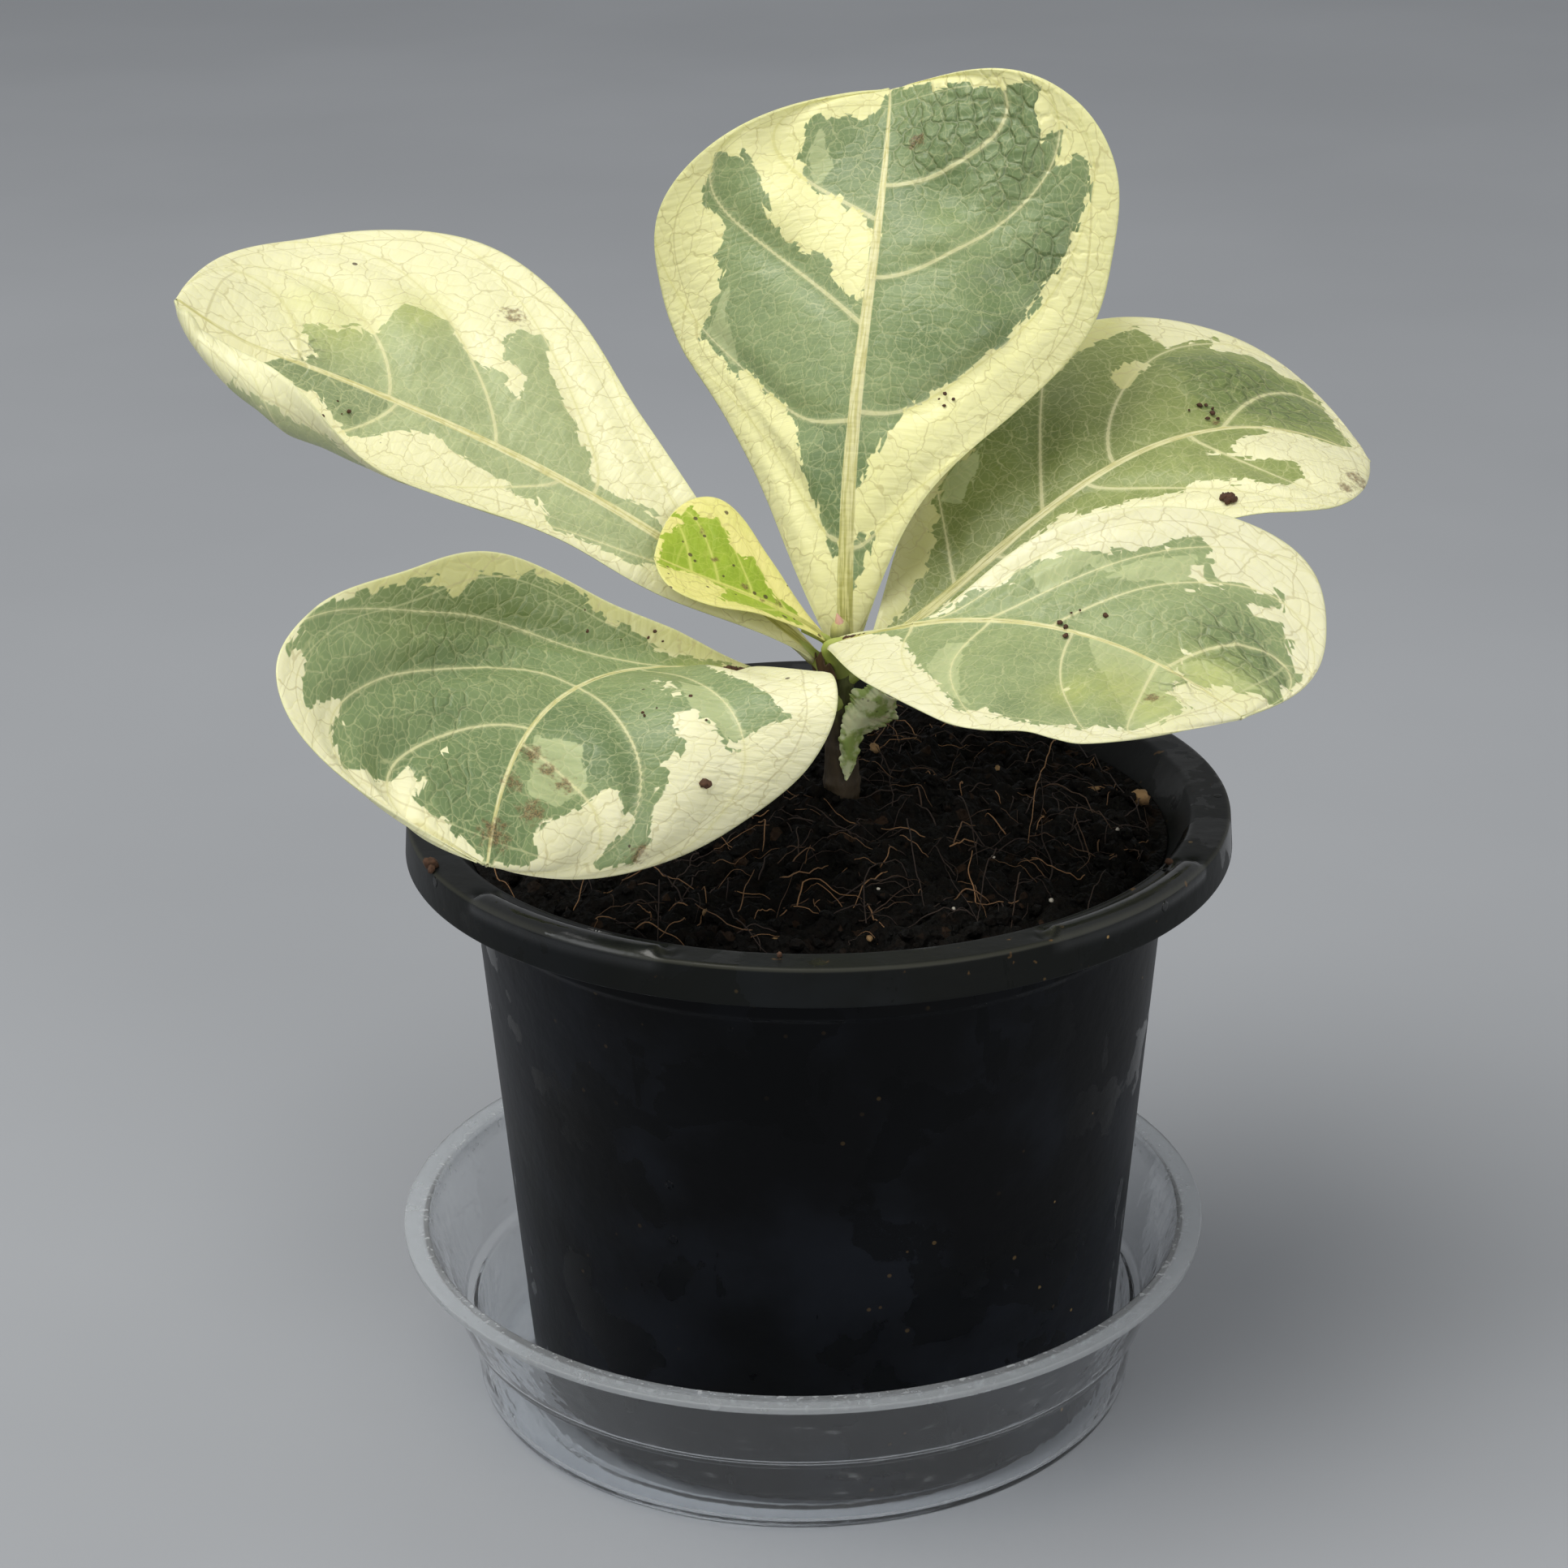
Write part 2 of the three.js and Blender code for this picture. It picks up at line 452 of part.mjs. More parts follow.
function soilGeometry() {
  const bottom = POT_FLOOR + CLEARANCE;
  const gap = POT_WALL + CLEARANCE + 0.1;
  const floorEdge = wallRadius(bottom) - gap - 2.2;
  const levels = [[wallRadius(bottom + 2.2) - gap, bottom + 2.2]];
  levels.push([wallRadius(RIM_TOP - POT_SHOULDER - 4) - gap, RIM_TOP - POT_SHOULDER - 4]);
  const top = [60.8, 58, 53, 48, 43, 38, 33, 28, 23, 18, 13, 8.5, 4.5, 0];
  const profile = [[0, bottom], [floorEdge, bottom], ...levels, ...top.map((radius) => [radius, SOIL_EDGE])];
  const geometry = turned(profile, 36);
  const place = geometry.attributes.position;
  for (let k = 0; k < place.count; k++) {
    const [x, y, z] = [place.getX(k), place.getY(k), place.getZ(k)];
    if (z > SOIL_EDGE - 0.01) place.setZ(k, soilHeight(x, y));
  }
  let soil = toSolid(geometry);
  const random = seeded(11);
  for (let k = 0; k < CRUMBS; k++) {
    const radius = 57 * Math.sqrt(random());
    const angle = random() * TAU;
    const size = 1.2 + 1.8 * random();
    const [x, y] = [radius * Math.cos(angle), radius * Math.sin(angle)];
    if (Math.hypot(x - STEM_FOOT[0], y - STEM_FOOT[1]) < 11) continue;
    const crumb = new THREE.OctahedronGeometry(size, 0).rotateX(random() * 3).rotateY(random() * 3)
      .scale(1, 1, 0.8).translate(x, y, soilHeight(x, y) + size * 0.25);
    soil = soil.add(toSolid(crumb));
  }
  for (let k = 0; k < FIBRES; k++) {
    const radius = 22 + 26 * random();
    const angle = random() * TAU;
    const heading = random() * TAU;
    const length = 8 + 12 * random();
    const [x, y] = [radius * Math.cos(angle), radius * Math.sin(angle)];
    const points = [0, 0.35, 0.7, 1].map((part) => {
      const reach = (part - 0.5) * length;
      const bend = 3 * Math.sin(part * 3) * (random() - 0.5);
      const px = x + reach * Math.cos(heading) - bend * Math.sin(heading);
      const py = y + reach * Math.sin(heading) + bend * Math.cos(heading);
      const arch = part === 0 || part === 1 ? -1.6 : 1.4 + 1.2 * random();
      return [px, py, soilHeight(px, py) + arch];
    });
    soil = soil.add(toSolid(bar(points, 0.4, 3, 5)));
  }
  const stemHole = new THREE.CylinderGeometry(STEM_RADII[0] + 2 * CLEARANCE, STEM_RADII[0] + 2 * CLEARANCE, 60, 16)
    .rotateX(Math.PI / 2).translate(STEM_FOOT[0], STEM_FOOT[1], STEM_FOOT[2] + 30 - CLEARANCE);
  return toGeometry(wholeOf(soil.subtract(toSolid(stemHole))));
}

// Torn pale stipule that hangs against the stem, in front, under leaf D.
const SCRAP_THICK = 0.7;
const SCRAP_PLACE = [5.2, -0.28, 134.5];
function scrapGeometry() {
  const outline = new THREE.Shape();
  const corners = [[0, 0], [3.4, 2.6], [6.8, 3.8], [8, 0.6], [6, -3.2], [3.2, -5.2], [1.9, -7.4], [1.5, -10.6],
    [0.2, -14], [-1.2, -11.3], [-0.4, -8.4], [-1.1, -6], [-0.9, -3.4], [0.6, -2.2]];
  corners.forEach(([x, y], k) => (k === 0 ? outline.moveTo(x, y) : outline.lineTo(x, y)));
  const geometry = new THREE.ExtrudeGeometry(outline, { depth: SCRAP_THICK, bevelEnabled: false, steps: 1 });
  return geometry.rotateX(Math.PI / 2).rotateZ(0.25).translate(...SCRAP_PLACE);
}

const plant = new THREE.Group();
plant.name = "potted_fig";

function addPiece(name, geometry, finish) {
  const mesh = new THREE.Mesh(geometry, new THREE.MeshStandardMaterial(finish));
  mesh.name = name;
  plant.add(mesh);
}

addPiece("saucer", saucerGeometry(), MATERIALS.saucer);
addPiece("pot", potGeometry(), MATERIALS.pot);
addPiece("soil", soilGeometry(), MATERIALS.soil);
addPiece("stem", stemBody(0), MATERIALS.stem);
for (const [name, leaf] of Object.entries(LEAVES)) {
  addPiece(name, leafGeometry(leaf), leaf.thin ? MATERIALS.youngLeaf : MATERIALS.leaf);
}
addPiece("stipule", scrapGeometry(), MATERIALS.scrap);

export default plant;
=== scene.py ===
"""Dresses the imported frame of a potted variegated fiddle-leaf fig.

Shapes are worked out in millimetres in the frame's own axes: +Z up, -Y to the front, +X to the right.
"""

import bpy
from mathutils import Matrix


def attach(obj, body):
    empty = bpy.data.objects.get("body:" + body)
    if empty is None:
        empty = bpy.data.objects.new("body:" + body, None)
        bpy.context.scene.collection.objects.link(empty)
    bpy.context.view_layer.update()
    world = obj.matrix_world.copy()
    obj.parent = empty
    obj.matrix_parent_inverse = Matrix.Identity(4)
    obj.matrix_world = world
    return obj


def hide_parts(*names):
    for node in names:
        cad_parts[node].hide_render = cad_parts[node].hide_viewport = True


bl_info = {
    "name": "Potted Variegated Fig",
    "version": (1, 0, 0),
    "blender": (4, 5, 0),
    "location": "3D View > Sidebar > Fig",
    "description": "Builds the leaves, stem, soil, pot, saucer and studio of a potted variegated fig",
    "category": "Object",
}

import bpy
import numpy as np
from mathutils import Matrix

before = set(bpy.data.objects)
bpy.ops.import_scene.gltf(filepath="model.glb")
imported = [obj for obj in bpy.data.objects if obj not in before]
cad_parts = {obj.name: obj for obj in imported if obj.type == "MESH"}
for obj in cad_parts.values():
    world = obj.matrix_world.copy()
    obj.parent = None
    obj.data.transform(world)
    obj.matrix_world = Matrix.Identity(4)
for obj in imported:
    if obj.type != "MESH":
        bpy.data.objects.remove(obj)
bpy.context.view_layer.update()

MM = 0.001
TAU = 2 * np.pi
DEGREE = np.pi / 180
REPEAT = 64    # whole units after which random heights and cells come again

# The pot, the saucer, the stem and the mix, as in the frame.
RIM_TOP = 116.9
RIM_RADIUS = 75.0
RIM_INNER_RADIUS = 68.0
POT_FOOT_RADIUS = 55.4
POT_SHOULDER_RADIUS = 64.1
POT_SHOULDER = RIM_TOP - 8
BAND_FOOT = RIM_TOP - 7
POT_WALL = 1.4
POT_FLOOR = 5.4
GRIP_ANGLES = (-127.5, -42.5, 48.0, 138.0)
GRIP_SPAN = 32.0
SAUCER_X = -3.6
SAUCER_TOP = 34.1
SAUCER_SIDES = 288
STEM_FOOT = np.array([4.5, 4.0, 90.0])
STEM_TOP = np.array([4.3, 2.5, 148.5])
STEM_RADII = (4.6, 4.4, 3.4, 2.7, 1.9)
STEM_SIDES = 64
LEAF_SCARS = (0.5, 0.62, 0.74, 0.83, 0.9, 0.96)    # shares of the stem's height
BUD_LENGTH = 4.2
BUD_SIDES = 32
SOIL_EDGE = 111.5
SOIL_SIDES = 300

# What all the leaves share.
PETIOLE_HALF_WIDTH = 1.3
PETIOLE_RADII = (2.1, 1.6, 1.35, 0.9)
PETIOLE_STEPS = 22
USUAL_LENGTH = 110    # of a large leaf's blade
USUAL_HALF_WIDTH = 34
TIP_CROWDING = 1.8
TIGHTEST_FOLD = 2.5
NET_CELL = 5.2    # millimetres across one mesh of the coarse vein net
PUCKER_CELL = 2.9    # millimetres across one mesh where a leaf is puckered

# The camera looks down at a point CAMERA_AIM over the floor, from CAMERA_AWAY in front of it.
CAMERA_X = -6.2
CAMERA_AWAY = 668
CAMERA_AIM = 119.8
CAMERA_DOWN = 21.7    # degrees
CAMERA_TILT = -0.7    # degrees about its own axis
FOCAL_SHARE = 4500 / 1932    # focal length over the width of the picture
FILM_WIDTH = 36
FLOOR_REACH = 30.0    # metres from the middle to each edge of the floor

# Each leaf. The rib is a cubic Bezier curve from the petiole to the tip, and a hook pushes its
# last tenth aside. Roll, lift, curl and a half's own fold are angles at the base, the middle and
# the tip, and fold_at and fold_width are the fold's place across and its breadth. Rise is how far
# below the blade its petiole leaves the stem, wave the height of the margin's waves, bulge how far
# the blade swells between side veins, and sweep how far the margin runs ahead, as a share of the
# half width. Widths are half widths at evenly spaced rows. A side vein is (start along the rib, how
# far it rises towards the tip, how late it bends, how much it bows back). Green, pale, dark, cream,
# green_beneath and the patches of painted shade, where a leaf lies in shade and is tinted olive,
# are outlines of patches in (share along the rib, share across: left is negative). Pucker, brown,
# shade and lime are marks, each (share along, share across, radius in millimetres), and a leaf's
# own fold has a height as well. The shade marks are painted shade: darker green where the blade
# lies in shade. Yellow, olive and sage are shares of those tints, slim scales the veins' widths,
# puckering the puckers, and thin is for the small leaf.
LEAVES = {
    "leaf_A": {
        "rib": [(5.4, 7.4, 140.6), (4.7, 14.7, 191.3), (13.2, 31.6, 209.7), (15.2, 56.9, 235.4)],
        "roll": (-6.5, -0.5, -6.2), "rise": 9, "wave": 0.7, "bulge": 1.5,
        "left": {"widths": (16, 29.4, 39.5, 42.9, 41.8, 32.8, 18.7), "lift": (3, -11, 15),
                 "curl": (-9, -19, 11), "sweep": -0.19,
                 "veins": [(0.16, 0.4, 3), (0.345, 0.446, 3.85), (0.515, 0.44, 1.15), (0.725, 0.3, 1)]},
        "right": {"widths": (12.8, 30, 40.7, 43.3, 43, 36.6, 23.2), "lift": (9.5, -11, 22),
                  "curl": (-3, -17, 17), "sweep": -0.01,
                  "veins": [(0.15, 0.16, 3), (0.36, 0.66, 3.6), (0.61, 0.37, 1.6), (0.8, 0.24, 1.6)]},
        "green": [
            [(0.34, 0), (0.36, -0.26), (0.38, -0.48), (0.42, -0.65), (0.49, -0.76), (0.58, -0.83),
             (0.64, -0.69), (0.68, -0.67), (0.73, -0.73), (0.77, -0.68), (0.83, -0.81), (0.9, -0.88),
             (0.9, -0.77), (0.85, -0.57), (0.77, -0.48), (0.71, -0.42), (0.67, -0.24), (0.58, -0.11),
             (0.53, 0)],
            [(0.34, 0), (0.37, -0.49), (0.33, -0.5), (0.31, -0.45), (0.27, -0.45), (0.23, -0.4),
             (0.17, -0.3), (0.15, 0)],
            [(0.74, 0), (0.75, -0.12), (0.8, -0.23), (0.87, -0.36), (0.94, -0.44), (0.95, -0.31),
             (0.94, -0.17), (0.97, 0)],
            [(0.36, 0), (0.37, 0.22), (0.39, 0.44), (0.45, 0.55), (0.51, 0.64), (0.57, 0.7),
             (0.67, 0.79), (0.78, 0.86), (0.83, 0.89), (0.84, 0.84), (0.83, 0.75), (0.88, 0.84),
             (0.87, 0.72), (0.91, 0.76), (0.94, 0.94), (1, 0.9), (1, 0)],
            [(0.35, 0), (0.36, 0.24), (0.31, 0.25), (0.28, 0.21), (0.25, 0)],
            [(0.15, 0), (0.15, 0.23), (0.17, 0.47), (0.12, 0.51), (0.1, 0.4), (0.07, 0)],
        ],
        "dark": [[(0.34, -0.28), (0.34, 0), (0.1, 0), (0.1, -0.1), (0.2, -0.27), (0.27, -0.38)]],
        "pale": [[(0.49, -0.78), (0.58, -0.84), (0.66, -0.67), (0.59, -0.72), (0.54, -0.72)],
                 [(0.94, -0.44), (0.91, -0.33), (0.85, -0.24), (0.82, -0.29), (0.87, -0.38)]],
        "pucker": [(0.91, 0.4, 9), (0.85, 0.55, 9), (0.9, 0.65, 7), (0.89, 0.2, 8), (0.7, 0.72, 6)],
        "brown": [(0.885, 0.15, 3.0)],
        "shade": [(0.79, 0.13, 6), (0.83, 0.3, 8), (0.9, 0.3, 8), (0.92, 0.5, 7), (0.87, -0.1, 8),
                  (0.68, 0.72, 9), (0.57, 0.58, 9), (0.76, 0.75, 7), (0.86, 0.42, 10),
                  (0.5, 0.3, 7), (0.25, -0.15, 9)],
        "fold": [(0.69, 0.3, 7, 2.8), (0.775, 0.28, 5.5, -2.8), (0.86, 0.3, 6, 1.9), (0.86, -0.2, 7, -2.0),
                 (0.8, -0.4, 8, 1.3), (0.55, 0.5, 9, 1.8), (0.62, 0.6, 6, -1.8)],
        "yellow": 0.75, "olive": 0.0, "sage": 0.05,
    },
    "leaf_B": {
        "rib": [(-0.3, 2.1, 143.5), (-30.8, 4.5, 172.8), (-70.9, 18.7, 187.2), (-109.6, 12.6, 203.4)],
        "roll": (-29.8, -34.1, -32.9), "rise": 5, "wave": 0.6, "bulge": 1.1, "hook": (-3.1, 0, 5),
        "left": {"widths": (9.8, 12, 18.3, 26.3, 26.7, 23.1, 14.2), "lift": (7, -2, -16),
                 "curl": (14, 19, 59), "fold": (0, 0, 190), "fold_at": 0.68, "fold_width": 0.5,
                 "sweep": 0.05, "veins": [(0.2, 0.3, 2), (0.445, 0.22, 1.6), (0.7, 0.25, 1.6)]},
        "right": {"widths": (7.4, 20, 36, 44.8, 44.3, 37.5, 23.5), "lift": (10, 0, -11),
                  "curl": (8, 3, -7), "sweep": -0.1,
                  "veins": [(0.2, 0.3, 2.5), (0.395, 0.4, 2.7), (0.55, 0.4, 1.55), (0.715, 0.4, 1.6),
                            (0.85, 0.2, 1.4)]},
        "green": [
            [(0.4, 0), (0.41, 0.23), (0.45, 0.4), (0.53, 0.58), (0.58, 0.74), (0.61, 0.69),
             (0.62, 0.6), (0.6, 0.48), (0.57, 0.45), (0.56, 0.33), (0.59, 0.39), (0.64, 0.41),
             (0.67, 0.45), (0.7, 0.51), (0.76, 0.49), (0.77, 0.27), (0.8, 0.32), (0.83, 0.26),
             (0.86, 0.29), (0.86, 0.21), (0.82, 0.03), (0.77, 0)],
            [(0.4, 0), (0.39, 0.13), (0.35, 0.21), (0.32, 0.27), (0.28, 0.17), (0.28, 0)],
            [(0.89, -0.11), (0.87, -0.01), (0.82, 0.02), (0.7, 0), (0.7, -0.06), (0.72, -0.16),
             (0.74, -0.33), (0.77, -0.34), (0.79, -0.25), (0.81, -0.17), (0.85, -0.16)],
            [(0.74, -0.36), (0.72, -0.23), (0.7, 0), (0.45, 0), (0.45, -0.11), (0.51, -0.39),
             (0.58, -0.29), (0.63, -0.18), (0.68, -0.2), (0.71, -0.33)],
            [(0.5, -0.51), (0.45, -0.18), (0.39, 0), (0.28, 0), (0.26, -0.63), (0.32, -0.69),
             (0.36, -0.88), (0.41, -0.86), (0.43, -0.71), (0.46, -0.48)],
        ],
        "dark": [[(0.89, -0.11), (0.87, -0.01), (0.71, 0), (0.72, -0.16), (0.74, -0.34), (0.81, -0.17)]],
        "lime": [(0.83, 0.32, 9), (0.87, 0.42, 6), (0.74, 0.5, 7)],
        "pucker": [(0.85, 0.1, 4)],
        "shade": [(0.8, -0.2, 7), (0.84, 0.0, 7)],
        "green_beneath": [[(0.68, -0.6), (0.69, -0.92), (0.76, -0.88), (0.84, -0.81), (0.92, -0.76),
                           (0.93, -0.5)]],
        "brown": [(0.63, 0.73, 3.4)],
        "fold": [(0.72, 0.32, 8, 1.4), (0.8, 0.14, 6, -1.3), (0.6, 0.25, 8, 0.9), (0.66, 0.2, 4, -0.8)],
        "yellow": 0.3, "olive": 0.2, "sage": 0.85, "slim": 0.75,
    },
    "leaf_C": {
        "rib": [(-1.5, -3.7, 140.1), (-28.8, -22, 152.1), (-51.7, -41.8, 162.9), (-53.7, -85, 140.5)],
        "roll": (-5, -7.6, -20.9), "rise": 6, "wave": 0.6, "bulge": 1.5,
        "left": {"widths": (18.2, 34.4, 43.2, 44.3, 40.4, 33.4, 20.2), "lift": (26, 16, -22),
                 "curl": (-32, -4, -18), "sweep": -0.31,
                 "veins": [(0.2, 0.4, 1.6), (0.4, 0.58, 2.3), (0.575, 0.68, 1.55), (0.78, 0.3, 1.4)]},
        "right": {"widths": (4.9, 13.4, 28.8, 34.1, 41.7, 42.1, 29.3), "lift": (22, 20, 5),
                  "curl": (4, 4, 2), "fold": (66, 45, 13), "fold_at": 0.47, "fold_width": 0.3,
                  "sweep": -0.09, "veins": [(0.32, 0.53, 1.25), (0.575, 0.7, 2.2), (0.74, 0.75, 1.7)]},
        "green": [
            [(0.1, 0), (0.14, 0.21), (0.23, 0.38), (0.33, 0.53), (0.39, 0.78), (0.43, 0.78),
             (0.47, 0.92), (0.53, 0.94), (0.55, 0.86), (0.61, 0.9), (0.66, 0.8), (0.68, 0.91),
             (0.74, 0.96), (0.83, 0.98), (0.88, 0.97), (0.89, 0.9), (0.92, 0.85), (0.89, 0.7),
             (0.94, 0.75), (0.91, 0.67), (0.96, 0.75), (0.94, 0.45), (0.84, 0.28), (0.75, 0)],
            [(0.75, 0), (0.8, 0.22), (0.85, 0.26), (0.95, 0.34), (1, 0.45), (0.99, -0.47),
             (0.97, -0.41), (0.94, -0.26), (0.91, -0.17), (0.88, -0.1), (0.82, -0.05)],
            [(0.74, 0), (0.7, -0.07), (0.74, -0.19), (0.79, -0.26), (0.86, -0.31), (0.9, -0.22),
             (0.88, -0.12), (0.82, -0.04)],
            [(0.58, 0), (0.66, -0.21), (0.72, -0.37), (0.8, -0.51), (0.84, -0.53), (0.82, -0.35),
             (0.74, -0.19), (0.7, -0.08), (0.74, 0)],
            [(0.6, 0), (0.5, 0), (0.5, -0.2), (0.56, -0.36), (0.6, -0.44), (0.65, -0.46),
             (0.72, -0.55), (0.78, -0.55), (0.77, -0.46), (0.72, -0.38), (0.65, -0.23)],
            [(0.5, 0), (0.5, -0.31), (0.52, -0.53), (0.59, -0.64), (0.67, -0.72), (0.62, -0.85),
             (0.54, -0.74), (0.4, -0.4), (0.3, -0.15), (0.1, 0)],
            [(0.8, -0.52), (0.82, -0.61), (0.89, -0.7), (0.9, -0.66), (0.84, -0.55)],
            [(0.92, -0.67), (0.91, -0.74), (0.93, -0.82), (0.95, -0.75)],
        ],
        "dark": [[(0.6, 0), (0.66, -0.21), (0.72, -0.37), (0.8, -0.51), (0.83, -0.5), (0.8, -0.3),
                  (0.69, -0.08), (0.72, 0)],
                 [(0.99, 0.35), (0.99, -0.4), (0.9, -0.13), (0.84, 0), (0.9, 0.28)]],
        "pale": [[(0.5, -0.36), (0.51, -0.51), (0.61, -0.65), (0.67, -0.72), (0.71, -0.74),
                  (0.66, -0.63), (0.62, -0.5), (0.58, -0.44)],
                 [(0.75, -0.04), (0.74, -0.19), (0.82, -0.31), (0.88, -0.26), (0.87, -0.12)]],
        "pucker": [(0.72, 0.6, 8), (0.62, 0.48, 8), (0.79, 0.36, 7), (0.9, 0.2, 7)],
        "shade": [(0.7, 0.55, 10), (0.8, 0.33, 8), (0.93, 0.05, 9), (0.75, -0.3, 8), (0.7, -0.12, 9),
                  (0.84, 0.12, 9), (0.9, 0.42, 11)],
        "painted_shade_tint": [[(0.05, 0.2), (0.25, 0.5), (0.45, 0.6), (0.78, 0.62), (0.78, 1.1), (0.05, 1.1)]],
        "lime": [(0.2, -0.35, 12)],
        "brown": [(0.79, -0.06, 3.4), (0.81, -0.14, 3), (0.83, -0.23, 3), (0.86, -0.03, 3),
                  (0.9, -0.16, 4), (0.92, -0.79, 3), (0.955, -0.02, 4.5)],
        "fold": [(0.8, -0.2, 7, -1.4), (0.7, 0.22, 8, 1.2), (0.62, 0.5, 8, -0.9), (0.88, 0.1, 6, -1.0)],
        "yellow": 0.2, "olive": 0.0, "sage": 0.0, "slim": 0.65, "puckering": 0.5,
    },
    "leaf_D": {
        "rib": [(2.7, -2.2, 147.2), (27.2, -20.6, 161.3), (50, -15.1, 157), (71.8, -37.5, 145.9)],
        "roll": (11, 21, 7), "rise": 7, "wave": 0.5, "bulge": 1.2,
        "left": {"widths": (2, 16.5, 28.8, 37.7, 39.9, 31.5, 18.9), "lift": (12, 14.6, -6),
                 "curl": (0, 4, -7), "sweep": 0.11,
                 "veins": [(0.2, 0.4, 1.5), (0.375, 0.48, 1.3), (0.535, 0.46, 1.3), (0.82, 0.22, 1.4)]},
        "right": {"widths": (21.4, 31.3, 33.6, 33.3, 32.7, 29.9, 20), "lift": (10, 8, 7),
                  "curl": (0, 1, 1), "sweep": -0.11,
                  "veins": [(0.2, 0.25, 3), (0.39, 0.17, 3.5, 0.05), (0.59, 0.42, 2.4), (0.8, 0.2, 1.4)]},
        "green": [
            [(0.12, 0), (0.26, -0.36), (0.3, -0.73), (0.38, -0.53), (0.47, -0.55), (0.48, -0.42),
             (0.46, -0.34), (0.53, -0.44), (0.56, -0.53), (0.62, -0.66), (0.69, -0.85),
             (0.72, -0.8), (0.64, -0.6), (0.61, -0.49), (0.56, -0.39), (0.42, 0)],
            [(0.56, -0.39), (0.62, -0.42), (0.7, -0.52), (0.74, -0.48), (0.77, -0.58), (0.84, -0.77),
             (0.86, -0.73), (0.83, -0.58), (0.85, -0.57), (0.88, -0.7), (0.96, -0.8), (0.98, -0.6),
             (0.93, -0.24), (0.82, -0.14), (0.81, 0), (0.42, 0)],
            [(0.12, 0), (0.19, 0.25), (0.23, 0.42), (0.27, 0.52), (0.33, 0.46), (0.32, 0.35),
             (0.34, 0.23), (0.4, 0)],
            [(0.39, 0), (0.6, 0), (0.61, 0.25), (0.65, 0.48), (0.73, 0.69), (0.83, 0.81),
             (0.76, 0.91), (0.63, 0.91), (0.53, 0.86), (0.45, 0.77), (0.4, 0.63), (0.36, 0.44),
             (0.36, 0.2)],
            [(0.59, 0), (0.65, 0.09), (0.69, 0.27), (0.74, 0.36), (0.88, 0.57), (0.9, 0.71),
             (0.85, 0.79), (0.77, 0.71), (0.69, 0.56), (0.61, 0.22)],
        ],
        "dark": [[(0.83, -0.2), (0.86, -0.5), (0.95, -0.6), (0.93, -0.3)]],
        "pale": [
            [(0.43, -0.58), (0.46, -0.68), (0.51, -0.7), (0.57, -0.6), (0.51, -0.42), (0.48, -0.37)],
            [(0.58, -0.39), (0.61, -0.5), (0.65, -0.61), (0.71, -0.69), (0.74, -0.54), (0.7, -0.46),
             (0.62, -0.42)],
            [(0.31, 0.28), (0.36, 0.22), (0.37, 0.51), (0.42, 0.73), (0.47, 0.81), (0.38, 0.77),
             (0.31, 0.57)],
            [(0.62, 0), (0.82, 0), (0.88, 0.18), (0.94, 0.27), (0.95, 0.62), (0.92, 0.68),
             (0.85, 0.5), (0.74, 0.32), (0.66, 0.15)],
            [(0.82, 0), (0.86, -0.17), (0.93, -0.24), (0.98, -0.57), (0.95, -0.18), (0.88, 0)],
        ],
        "pucker": [(0.86, -0.35, 7), (0.91, -0.42, 6), (0.87, 0.06, 3.5)],
        "shade": [(0.58, 0.8, 6), (0.88, -0.3, 8)],
        "lime": [(0.79, 0.34, 8), (0.885, 0.36, 7), (0.9, -0.1, 7), (0.7, 0.5, 6)],
        "brown": [(0.86, 0.28, 3.0)],
        "fold": [(0.86, -0.35, 7, 1.2), (0.85, 0.05, 5, -1.1), (0.72, -0.3, 8, 0.8), (0.6, 0.5, 7, -0.7)],
        "yellow": 0.1, "olive": 0.1, "sage": 0.3, "slim": 0.65,
    },
    "leaf_E": {
        "rib": [(10.2, 3.3, 143.8), (34.1, 17.3, 153.2), (61.2, 34, 192.6), (104.4, 39.2, 168)],
        "roll": (19.8, 21.9, 13.5), "rise": 5, "wave": 0.6, "bulge": 1.2,
        "left": {"widths": (15.3, 27.1, 35.8, 39.8, 38.1, 33.3, 21.7), "lift": (14, 6.7, -3),
                 "curl": (2, -1, -7), "sweep": -0.04,
                 "veins": [(0.21, 0.15, 1.3), (0.41, 0.23, 1.1), (0.56, 0.38, 1.65), (0.76, 0.29, 1)]},
        "right": {"widths": (10, 17, 24, 29, 30.5, 26.4, 15.6), "lift": (12, 7, 4),
                  "curl": (0, -1, 0), "sweep": -0.07,
                  "veins": [(0.3, 0.5, 2.2), (0.5, 0.4, 1.7), (0.7, 0.25, 1.4)]},
        "green": [
            [(0.05, 0), (0.07, -0.16), (0.15, -0.42), (0.23, -0.5), (0.26, -0.68), (0.32, -0.67),
             (0.32, -0.55), (0.36, -0.53), (0.42, -0.63), (0.5, -0.7), (0.64, -0.76), (0.74, -0.88),
             (0.76, -0.71), (0.84, -0.89), (0.83, -0.73), (0.88, -0.8), (0.91, -0.7), (0.95, -0.9),
             (0.97, -0.77), (0.96, -0.26), (0.98, -0.1), (0.96, 0)],
            [(0.05, 0), (0.42, 0.2), (0.48, 0.38), (0.57, 0.51), (0.63, 0.56), (0.65, 0.52),
             (0.73, 0.63), (0.8, 0.69), (0.86, 0.61), (0.85, 0.47), (0.74, 0.28), (0.63, 0.13),
             (0.56, 0)],
            [(0.62, 0), (0.65, 0.09), (0.7, 0.19), (0.75, 0.17), (0.81, 0.06), (0.8, 0)],
        ],
        "cream": [[(0.69, -0.65), (0.71, -0.57), (0.69, -0.51), (0.66, -0.44), (0.66, -0.54)]],
        "dark": [[(0.75, -0.15), (0.75, -0.6), (0.93, -0.7), (0.95, -0.2)]],
        "pale": [[(0.31, -0.75), (0.36, -0.76), (0.43, -0.69), (0.39, -0.59), (0.33, -0.53)]],
